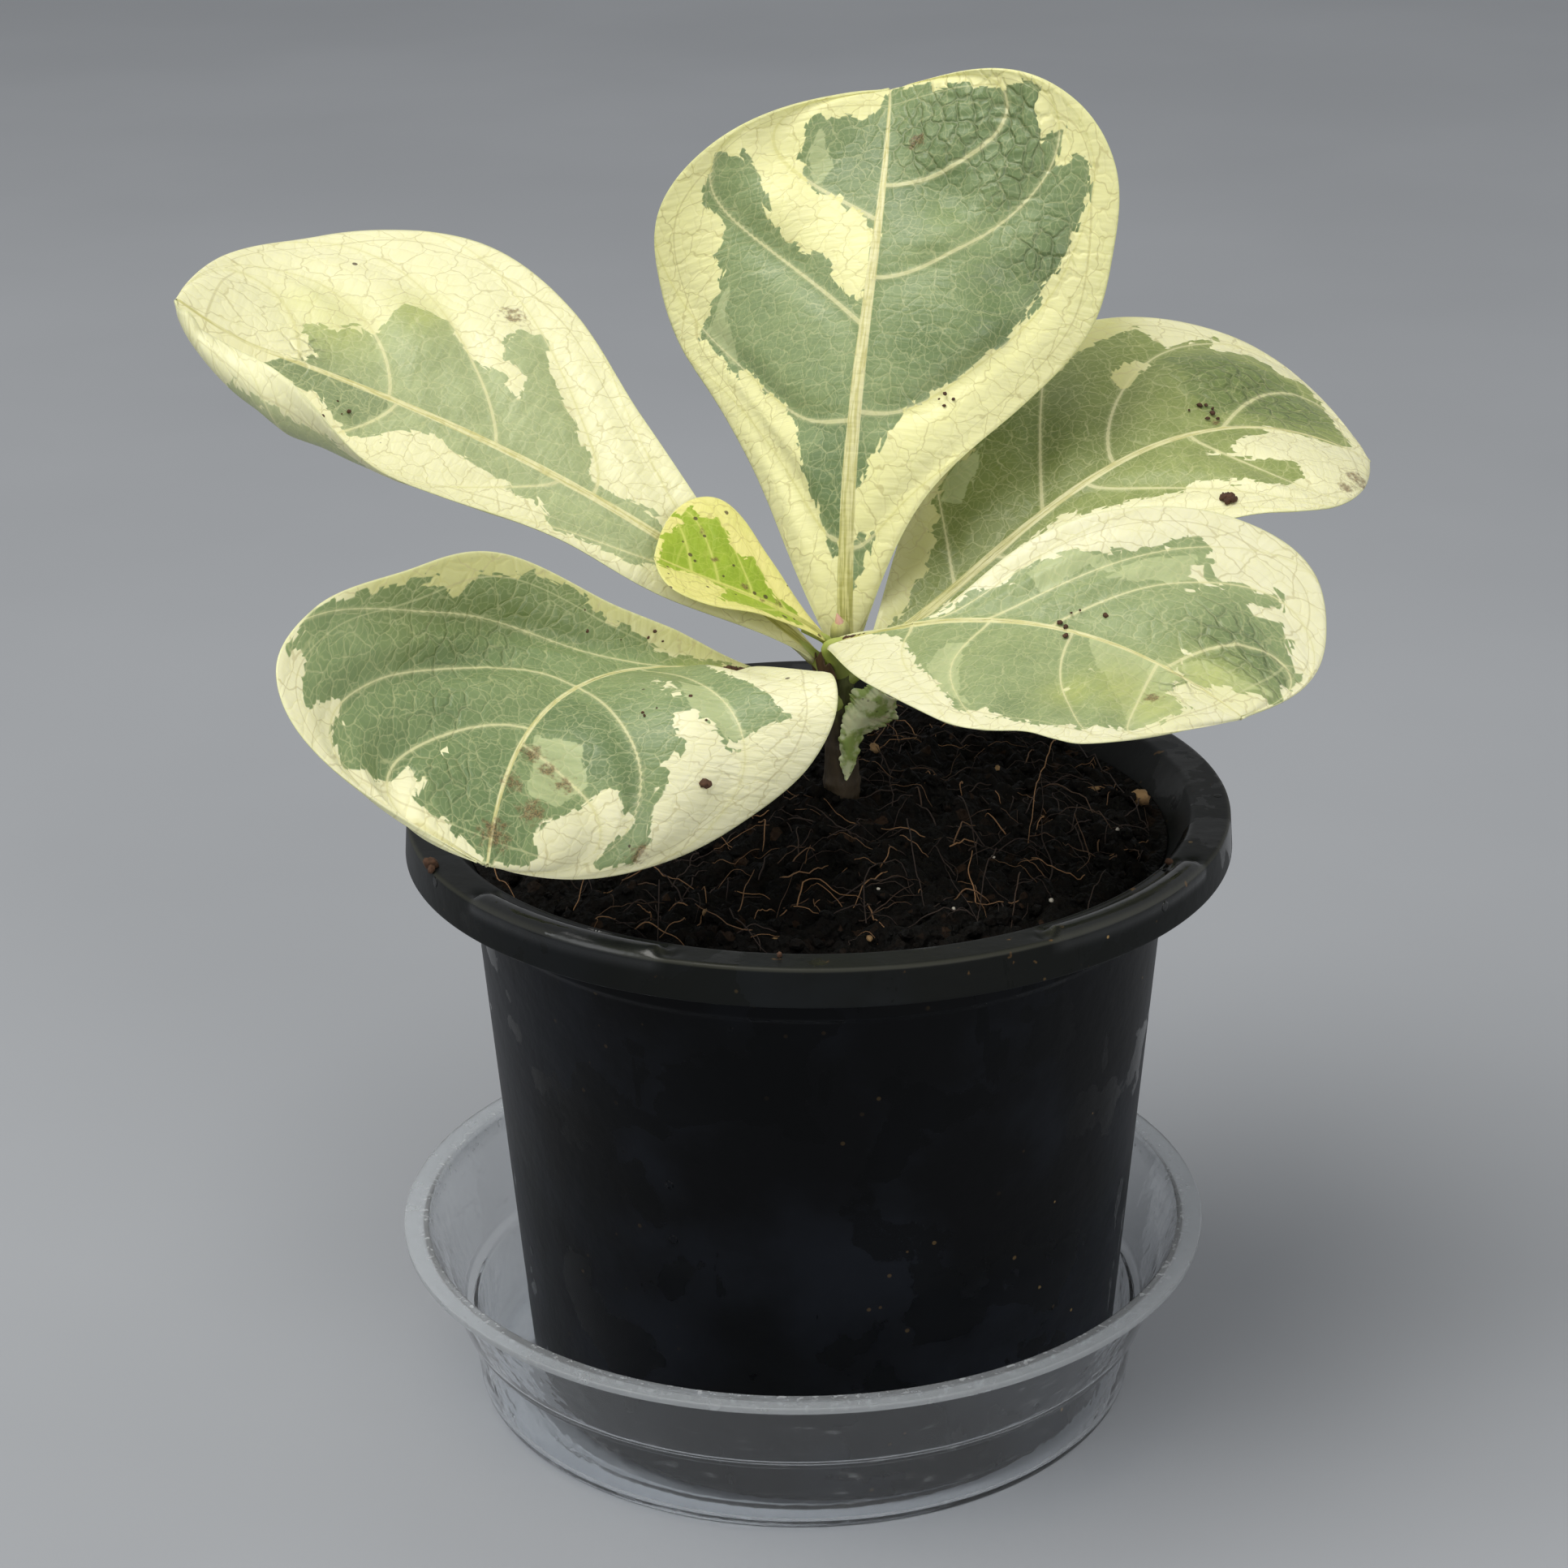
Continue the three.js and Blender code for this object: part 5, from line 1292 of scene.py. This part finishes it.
class FIG_OT_soil(bpy.types.Operator):
    """Build the potting mix, its loose crumbs, grains and chips"""

    bl_idname = "fig.soil"
    bl_label = "Potting mix"

    def execute(self, context):
        settings = context.scene.fig_soil
        finish = soil_finish(settings)
        self.mix(finish)
        self.crumbs(settings.crumbs, finish)
        self.grains()
        return {"FINISHED"}

    def mix(self, finish):
        """The mix itself, down to the pot's floor. Its top settles towards the pot, and the top's
        edge lies in the flare under the rim."""
        foot = POT_FLOOR + 0.3
        wall = [(30, foot), (48, foot), (53.4, foot), (53.8, foot + 2.2), (58, 60), (61.7, 104.9),
                (62.5, 109.2)]
        angle = np.arange(SOIL_SIDES) / SOIL_SIDES * TAU
        top = np.concatenate([np.linspace(63.9, 50, 38), np.linspace(49.6, 1.5, 104)])
        x, y = top[:, None] * np.cos(angle), top[:, None] * np.sin(angle)
        radius = np.concatenate([[point[0] for point in wall], top])
        low = np.repeat(np.array([point[1] for point in wall])[:, None], SOIL_SIDES, 1)
        settle = 1.3 * smooth_step((top - 56) / 4)[:, None]
        edge = smooth_step((top - 61.4) / 2.4)[:, None]
        surface = (crumbly_height(x, y) - settle) * (1 - edge) + (SOIL_EDGE - 0.6) * edge
        points, faces = turned(radius, np.concatenate([low, surface]), SOIL_SIDES)
        points[-1, 2] = crumbly_height(np.zeros(1), np.zeros(1))[0]
        add_piece("soil_fine", points, faces, finish, "soil_mix", ["soil"])

    def crumbs(self, count, finish):
        """Loose crumbs scattered evenly over the mix, most of them small."""
        random = np.random.default_rng(41)
        spread = 60 * np.sqrt(random.random(count))
        turn = random.random(count) * TAU
        x, y = spread * np.cos(turn), spread * np.sin(turn)
        sizes = 0.45 + 1.5 * random.random(count) ** 3
        centres = np.stack([x, y, crumbly_height(x, y) + sizes * 0.1], -1)
        add_piece("crumbs", *blobs(centres, sizes, 42, 6, 3), finish, "soil_mix")

    def grains(self):
        """White grains and tan chips that lie on the mix, each given as x, y and size."""
        chips = [(59.7, 6.4, 2.0), (11.1, 25.7, 1.2), (-1.0, 16.1, 1.6), (52, 14, 0.9), (-20, -44, 0.9),
                 (8, -52, 0.8), (-8, -52, 0.7), (34, 20, 0.8), (20, 40, 1.1), (-40, 30, 1.2)]
        whites = [(40.1, -38.6, 0.5), (22.8, -43.3, 0.4), (-30, 20, 0.6), (31, -20, 0.35), (47, 2, 0.4),
                  (10, -36, 0.35), (-6, -46, 0.4), (54, -10, 0.4)]
        tan = grainy_finish("chip_finish", 0.85, 500.0, 0.0006, paint(96, 70, 44), paint(168, 136, 92))
        pale, palest = paint(150, 142, 128), paint(226, 220, 206)
        white = grainy_finish("grain_finish", 0.8, 900.0, 0.0004, pale, palest)
        for name, places, finish, seed in (("chips", chips, tan, 43), ("grains", whites, white, 44)):
            x, y, size = np.array(places).T
            centres = np.stack([x, y, crumbly_height(x, y) + size * 0.35], -1)
            add_piece(name, *blobs(centres, size, seed, 12, 7), finish, "soil_mix")


# Fibres that the eye catches, each as (x, y, height over the mix) points.
NAMED_FIBRES = [
    [(45.5, 27.5, 5), (43, 17, 5), (40.9, 9.8, 3), (37.2, -17.8, 1)],
    [(48.6, 35.1, 4), (52.7, 18.9, 3), (57.5, 4.8, 2), (60, -7.9, 1)],
    [(15.5, -22, 8), (16.2, -30, 6), (17, -36, 3), (18.1, -44.2, 0)],
    [(25.2, -9, 7), (27.3, -17, 5), (28, -24.9, 0)],
    [(7.6, -47.7, 0), (7.9, -36, 4), (14, -29.6, 2), (16.4, -37.5, 0)],
    [(-4.2, -40.1, 0), (-2.4, -33, 3), (1.6, -36.4, 2), (7.4, -38.3, 0)],
    [(28.1, 8.2, 1), (31, 10.6, 2), (34.8, 12, 0)],
    [(41.8, 9.8, 1), (47.5, 6.8, 3), (51.8, -5.2, 1), (55.2, -8.8, 0)],
    [(45.6, -45.1, 0), (46.9, -40, 3), (49.8, -33.9, 4)],
    [(34.7, -36, 5), (33.5, -42, 3), (32.4, -48.5, 0)],
    [(30.9, -30, 5), (28.5, -36, 4), (26.3, -50.7, 0)],
    [(-27.7, -47, 8), (-27.8, -50, 5), (-28, -54.8, 0)],
    [(-34.8, -39.5, 0), (-31, -40, 2), (-27.7, -39, 0)],
    [(-31.9, -49.6, 0), (-28, -52, 1.5), (-23.4, -55.6, 0)],
    [(-26.5, -32.6, 0), (-23, -28, 2.5), (-19.6, -23.4, 1)],
    [(-58.3, -26, 6), (-56, -32, 3), (-52.1, -37.6, 0)],
    [(11, 38.2, 1), (24.1, 33.4, 3), (32.5, 30.5, 1)],
]


class FIG_OT_coir(bpy.types.Operator):
    """Build the coir fibres on the potting mix"""

    bl_idname = "fig.coir"
    bl_label = "Coir fibres"

    def execute(self, context):
        settings = context.scene.fig_soil
        random = np.random.default_rng(51)
        count, steps = settings.fibres, 14
        share = np.linspace(0, 1, steps)[None]

        def draw(low, high):
            return (low + (high - low) * random.random(count))[:, None]

        spread, turn, heading = 58 * np.sqrt(draw(0.02, 1)), draw(0, TAU), draw(0, TAU)
        length, bend, kink = draw(3, 9) * draw(1, 2.4), draw(-1.0, 1.0), draw(-0.4, 0.4)
        # The heading turns by the bend on the way, and the fibre arches over the mix or stands up.
        way = heading + bend * (share - 0.5) + kink * np.sin(9 * share)
        x = spread * np.cos(turn) + np.cumsum(np.cos(way), 1) * length / steps
        y = spread * np.sin(turn) + np.cumsum(np.sin(way), 1) * length / steps
        outside = np.maximum(1, np.hypot(x, y) / 60.4)
        x, y = x / outside, y / outside
        standing = (random.random(count) < 0.16)[:, None]
        arch = np.where(standing, draw(3, 8) * share ** 1.2, draw(0.3, 2.2) * np.sin(np.pi * share)) - 0.2
        z = crumbly_height(x, y).mean(1, keepdims=True) * 0.5 + crumbly_height(x, y) * 0.5 + arch
        paths = np.stack([x, y, z], -1)
        named = np.stack([smooth_through(fibre, share[0]) for fibre in NAMED_FIBRES])
        named[..., 2] += soil_height(named[..., 0], named[..., 1]) + 0.8
        paths = np.concatenate([paths, named])
        thick = 0.06 + 0.1 * random.random(len(paths)) ** 2
        thick[count:] = 0.12
        points, faces = tubes(paths, thick[:, None] * (1.05 - 0.6 * share ** 2), 5)
        tone = np.repeat(random.random(len(paths)), steps * 5 + 2)
        f = Finish("coir_finish", Roughness=0.75)
        pale = f.mix(f.noise(f.place(), 260.0, 2.0), between(settings.fibre, paint(90, 58, 36), 0.4),
                     tuple(settings.fibre))
        f.put("Base Color", f.mix(f.ramp(f.field("tone"), 0.5, 1.0), paint(44, 30, 22), pale))
        add_piece("coir", points, faces, f.material, "soil_mix", (), {"tone": tone})
        return {"FINISHED"}


class FIG_OT_dirt(bpy.types.Operator):
    """Build the crumbs of soil that lie on leaves and on the pot's rim"""

    bl_idname = "fig.dirt"
    bl_label = "Crumbs on the plant"

    def execute(self, context):
        # Each heap: the leaf, its share along and across, the heap's radius, crumbs and their size.
        heaps = [("leaf_E", 0.69, 0.81, 1.8, 10, 0.7), ("leaf_C", 0.2, -0.2, 3.6, 14, 0.4),
                 ("leaf_C", 0.784, -0.71, 0.8, 4, 0.75), ("leaf_D", 0.06, -0.1, 3.0, 16, 0.45),
                 ("leaf_C", 0.4, 0.7, 12.0, 7, 0.28), ("leaf_D", 0.6, -0.06, 9.0, 6, 0.45),
                 ("leaf_B", 0.8, -0.2, 12.0, 5, 0.35), ("leaf_E", 0.74, -0.1, 7.0, 8, 0.45),
                 ("leaf_C", 0.62, -0.45, 9.0, 9, 0.35), ("leaf_A", 0.4, 0.55, 4.0, 4, 0.45)]
        random = np.random.default_rng(61)
        centres, sizes = [], []
        for name, t, v, radius, count, size in heaps:
            leaf = LEAVES[name]
            for _ in range(count):
                s = 1 - (1 - t) ** (1 / TIP_CROWDING)
                shift = (random.random(2) - 0.5) * radius
                row, column = s + shift[0] / USUAL_LENGTH, v + shift[1] / USUAL_HALF_WIDTH
                sheet = blade_sheet(leaf, np.array([[row], [row + 0.01]]),
                                    np.array([[column, column + 0.02]]))[0]
                own = size * (0.5 + random.random())
                centres.append(sheet[0, 0] + facing(sheet)[0, 0] * (0.45 + own * 0.35))
                sizes.append(own)
        # Each crumb on the rim: its angle, radius and size.
        on_rim = [(-156.5, 74.6, 1.5), (-155, 75.2, 0.9), (-28.0, 69, 0.8), (-96, 70, 0.6)]
        for angle, radius, size in on_rim:
            turn = angle * DEGREE
            centres.append(np.array([radius * np.cos(turn), radius * np.sin(turn), RIM_TOP + size * 0.4]))
            sizes.append(size)
        finish = grainy_finish("dirt_finish", 0.85, 1200.0, 0.0004, paint(34, 24, 18), paint(104, 70, 46))
        add_piece("dirt", *blobs(np.array(centres), np.array(sizes), 62, 9, 5), finish, "soil_mix")
        return {"FINISHED"}


def pot_finish(settings):
    """Black satin plastic: a dusty bloom, darker wet smears and small drops on the wall, splashes of
    soil on the rim and on the right, and a paler outer top edge, partly wear, partly painted highlight."""
    f = Finish("pot_finish")
    at = f.place()
    cloud = f.noise(at, 30.0, 5.0)
    runs = f.noise(f.vector("MULTIPLY", at, (1.0, 1.0, 0.3)), 120.0, 4.0)
    wet = f.larger(f.ramp(f.noise(at, 46.0, 6.0), 0.555, 0.575), f.ramp(runs, 0.66, 0.68))
    base = f.mix(f.ramp(cloud, 0.4, 0.66), tuple(settings.plastic), tuple(settings.dust))
    base = f.lay(base, paint(3, 4, 5), wet, 0.7)
    base = f.lay(base, paint(36, 38, 34), f.field("rim"), 0.35)
    # Paler outer top edge of the rim: partly wear, partly a painted highlight.
    base = f.lay(base, paint(90, 90, 78), f.field("wear_and_highlight"), 0.3)
    drop = f.cells(at, 150.0)
    is_drop = f.times(f.ramp(drop, 0.16, 0.1), f.ramp(drop.node.outputs[1], 0.84, 0.88))
    splash = f.times(f.ramp(f.noise(at, 330.0, 3.0), 0.71, 0.77), f.field("rim"))
    base = f.lay(base, paint(100, 76, 46), splash, 0.8)
    across = f.node("ShaderNodeSeparateXYZ", {0: at})
    soiled = f.times(f.ramp(f.noise(at, 38.0, 3.0), 0.5, 0.6), f.ramp(across, 0.0, 0.05, 0.1, 1.0))
    grit = f.cells(at, 620.0)
    speck = f.times(f.ramp(grit, 0.3, 0.2), f.ramp(grit.node.outputs[1], 0.86, 0.9))
    base = f.mix(f.times(speck, soiled), base, paint(150, 122, 78))
    f.put("Base Color", base)
    f.put("Specular IOR Level", f.plus(0.1, f.times(f.field("grip"), 0.4)))
    dull = f.ramp(f.larger(wet, is_drop), 0.0, 1.0, 0.42, 0.2)
    f.put("Roughness", f.minus(dull, f.times(f.field("grip"), 0.2, clamp=True)))
    raised = f.plus(f.times(is_drop, 1.4), f.times(f.noise(at, 260.0, 3.0), 0.3))
    f.bump(raised, 0.0004)
    return f.material


def pot_wall(height):
    """Outer radius of the pot's wall, which widens evenly from its foot to its shoulder."""
    return POT_FOOT_RADIUS + (POT_SHOULDER_RADIUS - POT_FOOT_RADIUS) * height / POT_SHOULDER


def pot_outline():
    """The pot's outline as radius and height: under its floor, up the outside with two step rings,
    round the rim in fine steps, and down the inside. Each corner is (radius, height, fillet)."""
    low, high = RIM_TOP - 14.5, RIM_TOP - 10.5
    corners = [
        (8, POT_FLOOR - 1.4, 0), (51, POT_FLOOR - 1.4, 0.3), (51.5, 1.2, 0.3), (53.2, 1.2, 0.5),
        (POT_FOOT_RADIUS, 3.4, 1.2), (pot_wall(low - 1), low - 1, 0.3), (pot_wall(low) + 0.55, low, 0.25),
        (pot_wall(high - 0.8), high - 0.8, 0.3), (pot_wall(high) + 0.55, high, 0.25),
        (POT_SHOULDER_RADIUS + 0.7, POT_SHOULDER, 0.8), (RIM_INNER_RADIUS + 0.4, RIM_TOP - 1.4, 0.6),
        (RIM_RADIUS - 1.5, RIM_TOP - 1.4, 0.4), (RIM_RADIUS - 0.8, BAND_FOOT, 0.2),
        (RIM_RADIUS + 0.6, BAND_FOOT, 0.4), (RIM_RADIUS + 0.1, RIM_TOP, 0.75),
        (RIM_INNER_RADIUS + 0.2, RIM_TOP - 0.15, 0.9),
        (POT_SHOULDER_RADIUS - 0.9, POT_SHOULDER + 0.6, 1.0),
        (pot_wall(POT_SHOULDER - 3) - POT_WALL, POT_SHOULDER - 3, 0.5),
        (pot_wall(POT_FLOOR + 2) - POT_WALL, POT_FLOOR + 2, 0.8),
        (pot_wall(POT_FLOOR) - POT_WALL - 2, POT_FLOOR, 0.5), (8, POT_FLOOR, 0),
    ]
    outline = rounded(corners)
    first = np.argmax(outline[:, 1] > RIM_TOP - 9)
    last = len(outline) - np.argmax(outline[::-1, 1] > RIM_TOP - 6)
    return np.concatenate([outline[:first], finely(outline[first:last], 0.42), outline[last:]])


class FIG_OT_pot(bpy.types.Operator):
    """Build the pot with its rim, step rings and four rolled grips"""

    bl_idname = "fig.pot"
    bl_label = "Pot"

    def execute(self, context):
        settings = context.scene.fig_pot
        radius, height = (np.repeat(a[:, None], settings.sides, 1) for a in pot_outline().T)
        angle = np.arange(settings.sides) / settings.sides * 360
        on_rim = (height > BAND_FOOT + 1.5) & (radius > RIM_INNER_RADIUS + 0.8) & (height > RIM_TOP - 5)
        outer = on_rim & ((height > RIM_TOP - 1) | (radius > RIM_RADIUS - 0.3))
        middle = (RIM_RADIUS - 2.3, RIM_TOP - 1.5)
        grip = np.zeros(height.shape)
        # Out to the rolled bar's circle, with a groove on its inner side and a notch at each end.
        for at in GRIP_ANGLES:
            off = np.abs((angle - at + 180) % 360 - 180)
            window = smooth_step((GRIP_SPAN / 2 - off) / 1.3 + 0.5)
            end = bell((off - GRIP_SPAN / 2 - 0.5) / 1.1)
            away = np.hypot(radius - middle[0], height - middle[1])
            push = np.maximum(0, settings.bar_radius - away) * outer * window
            rise = np.where(away > 0.2, push / np.maximum(away, 0.2), 0)
            radius = radius + (radius - middle[0]) * rise
            height = height + (height - middle[1]) * rise
            flange = outer & (height > RIM_TOP - 1.2)
            height = height - flange * (0.8 * window * bell((radius - RIM_INNER_RADIUS - 1.7) / 0.7)
                                        + 0.9 * end * bell((radius - RIM_RADIUS + 2.6) / 1.5))
            grip = np.maximum(grip, window * outer * smooth_step((height - RIM_TOP + 3.2) / 2.2))
        radius = radius + 0.12 * rough(angle / 24 + 0 * height, height / 30, 71) * (height < POT_SHOULDER)
        points, faces = turned(radius, height, settings.sides)
        # Paler outer top edge of the rim: partly wear, partly a painted highlight.
        worn_and_highlit = bell((radius - RIM_RADIUS - 0.05) / 0.45) * (height > RIM_TOP - 0.7)
        fields = {"wear_and_highlight": worn_and_highlit, "rim": 1.0 * (height > BAND_FOOT - 1), "grip": grip}
        add_piece("pot_fine", points, faces, pot_finish(settings), "pot_plastic", ["pot"],
                  turned_fields(fields))
        return {"FINISHED"}


def saucer_finish(settings):
    """Clear plastic that lets lamps shine through, milky in its flange and a little in its wall,
    with scuffs and white burrs along the flange."""
    f = Finish("saucer_finish", IOR=1.34, Specular_IOR_Level=0.35)
    at = f.place()
    scuff = f.ramp(f.noise(f.vector("MULTIPLY", at, (1.0, 1.0, 3.0)), 180.0, 5.0), 0.62, 0.75)
    flange = f.field("flange")
    burr = f.times(f.ramp(f.noise(at, 700.0, 2.0), 0.58, 0.66), f.field("edge"))
    f.put("Base Color", f.mix(flange, tuple(settings.clear_plastic), paint(222, 226, 229)))
    haze = f.plus(f.times(flange, 0.2), f.times(scuff, 0.08))
    haze = f.plus(f.plus(haze, f.times(burr, 0.5)), 0.025, clamp=True)
    f.put("Transmission Weight", f.minus(1.0, haze, clamp=True))
    f.put("Roughness", f.plus(f.times(flange, 0.25), f.times(scuff, 0.15, clamp=True)))
    f.bump(f.noise(at, 90.0, 3.0), 0.0003)
    passing = f.node("ShaderNodeBsdfTransparent", {0: paint(236, 238, 240)})
    shaded = f.node("ShaderNodeLightPath", None, 1)
    both = f.node("ShaderNodeMixShader", {0: shaded, 1: f.shader.outputs[0], 2: passing})
    f.tree.links.new(both, f.end.inputs[0])
    return f.material


class FIG_OT_saucer(bpy.types.Operator):
    """Build the clear saucer"""

    bl_idname = "fig.saucer"
    bl_label = "Saucer"

    def execute(self, context):
        # Each corner is (radius, height, fillet): along the underside, up the outside, down inside.
        corners = [
            (6, 0, 0), (54, 0, 0.5), (56, 0.7, 0.5), (62.6, 0.1, 3.2), (64, 14.6, 0.5), (65.8, 15.6, 0.5),
            (72.4, 32.9, 0.5), (76, 32.9, 0.25), (76, SAUCER_TOP, 0.35), (71.4, SAUCER_TOP, 0.5),
            (64.6, 16.8, 0.5), (62.8, 15.8, 0.5), (61.2, 1.3, 2.8), (56, 1.9, 0.5), (54, 1.2, 0.5),
            (6, 1.2, 0),
        ]
        outline = finely(rounded(corners, 7), 3.0)
        radius, height = (np.repeat(a[:, None], SAUCER_SIDES, 1) for a in outline.T)
        points, faces = turned(radius, height, SAUCER_SIDES, (SAUCER_X, 0))
        at_top = height > SAUCER_TOP - 1.7
        fields = {"flange": 1.0 * at_top * (radius > 71.6),
                  "edge": at_top * bell((radius - 72.2) / 0.6)}
        finish = saucer_finish(context.scene.fig_pot)
        add_piece("saucer_fine", points, faces, finish, "saucer_plastic", ["saucer"],
                  turned_fields(fields))
        return {"FINISHED"}


class FIG_OT_stage(bpy.types.Operator):
    """Build the floor, the lights and the camera"""

    bl_idname = "fig.stage"
    bl_label = "Studio"

    def execute(self, context):
        scene = context.scene
        scene.view_settings.view_transform = "Standard"
        self.floor(scene, scene.fig_stage)
        self.lights(scene, scene.fig_stage)
        self.camera(scene)
        return {"FINISHED"}

    def floor(self, scene, settings):
        """A plain floor with soft clouds of a darker tone."""
        mesh = bpy.data.meshes.new("floor")
        corners = [(x * FLOOR_REACH, y * FLOOR_REACH, 0) for x, y in ((-1, -1), (1, -1), (1, 1), (-1, 1))]
        mesh.from_pydata(corners, [], [(0, 1, 2, 3)])
        floor = bpy.data.objects.new("floor", mesh)
        scene.collection.objects.link(floor)
        f = Finish("floor_finish", Roughness=0.85)
        at = f.place()
        cloud = f.noise(at, 3.0, 4.0)
        darker = between(settings.floor, paint(142, 145, 150), 0.3)
        f.put("Base Color", f.mix(f.ramp(cloud, 0.3, 0.7), darker, tuple(settings.floor)))
        mesh.materials.append(f.material)

    def lights(self, scene, settings):
        """Light from all round, a large soft lamp above, and weaker ones at the left and in front."""
        world = bpy.data.worlds.new("studio")
        world.use_nodes = True
        world.node_tree.nodes["Background"].inputs[0].default_value = (0.96, 0.98, 1.0, 1.0)
        world.node_tree.nodes["Background"].inputs[1].default_value = settings.fill
        scene.world = world
        lamps = [("key", (-0.5, -0.25, 1.6), 1.3, settings.key, (1.0, 0.98, 0.93)),
                 ("side", (-1.5, -0.7, 0.9), 0.8, settings.key * 0.16, (0.93, 0.96, 1.0)),
                 ("front", (1.0, -1.5, 0.75), 1.2, settings.key * 0.56, (1.0, 0.98, 0.95))]
        aim = np.array([0, 0, 0.13])
        for name, place, size, power, colour in lamps:
            lamp = bpy.data.lights.new(name, "AREA")
            lamp.shape = "DISK"
            lamp.size = size
            lamp.energy = power
            lamp.color = colour
            holder = bpy.data.objects.new(name, lamp)
            holder.matrix_world = facing_matrix(np.array(place), aim)
            scene.collection.objects.link(holder)

    def camera(self, scene):
        """The camera that took the picture."""
        lens = bpy.data.cameras.new("camera")
        lens.lens = FOCAL_SHARE * FILM_WIDTH
        lens.sensor_width = FILM_WIDTH
        camera = bpy.data.objects.new("camera", lens)
        down = CAMERA_DOWN * DEGREE
        back, rise = CAMERA_AWAY * np.cos(down), CAMERA_AWAY * np.sin(down)
        place = np.array([CAMERA_X, -back, CAMERA_AIM + rise]) * MM
        turn = Matrix.Rotation(TAU / 4 - down, 4, "X") @ Matrix.Rotation(CAMERA_TILT * DEGREE, 4, "Z")
        camera.matrix_world = Matrix.Translation(place) @ turn
        scene.collection.objects.link(camera)
        scene.camera = camera


def facing_matrix(place, aim):
    """Matrix that puts a lamp at a place and turns its -Z axis to the aim."""
    back = unit(place - aim)
    side = unit(np.cross((0, 0, 1.0), back))
    matrix = np.eye(4)
    matrix[:3, :3] = np.stack([side, np.cross(back, side), back], -1)
    matrix[:3, 3] = place
    return Matrix(matrix.tolist())


OPERATORS = (FIG_OT_stage, FIG_OT_saucer, FIG_OT_pot, FIG_OT_soil, FIG_OT_coir, FIG_OT_stem,
             FIG_OT_leaves, FIG_OT_young_leaf, FIG_OT_stipule, FIG_OT_dirt)
GROUPS = {"fig_leaves": FigLeafSettings, "fig_pot": FigPotSettings, "fig_soil": FigSoilSettings,
          "fig_stage": FigStageSettings}


class FIG_PT_build(bpy.types.Panel):
    """Lists the steps that build the plant"""

    bl_label = "Potted fig"
    bl_idname = "FIG_PT_build"
    bl_space_type = "VIEW_3D"
    bl_region_type = "UI"
    bl_category = "Fig"

    def draw(self, context):
        for operator in OPERATORS:
            self.layout.operator(operator.bl_idname)
        for name, group in GROUPS.items():
            box = self.layout.box()
            for key in group.__annotations__:
                box.prop(getattr(context.scene, name), key)


def register():
    for made in (*GROUPS.values(), *OPERATORS, FIG_PT_build):
        bpy.utils.register_class(made)
    for name, group in GROUPS.items():
        setattr(bpy.types.Scene, name, bpy.props.PointerProperty(type=group))


def unregister():
    for name in GROUPS:
        delattr(bpy.types.Scene, name)
    for made in reversed((*GROUPS.values(), *OPERATORS, FIG_PT_build)):
        bpy.utils.unregister_class(made)


def main():
    register()
    bpy.ops.fig.stage()
    bpy.ops.fig.saucer()
    bpy.ops.fig.pot()
    bpy.ops.fig.soil()
    bpy.ops.fig.coir()
    bpy.ops.fig.stem()
    bpy.ops.fig.leaves()
    bpy.ops.fig.young_leaf()
    bpy.ops.fig.stipule()
    bpy.ops.fig.dirt()


if __name__ == "__main__":
    main()
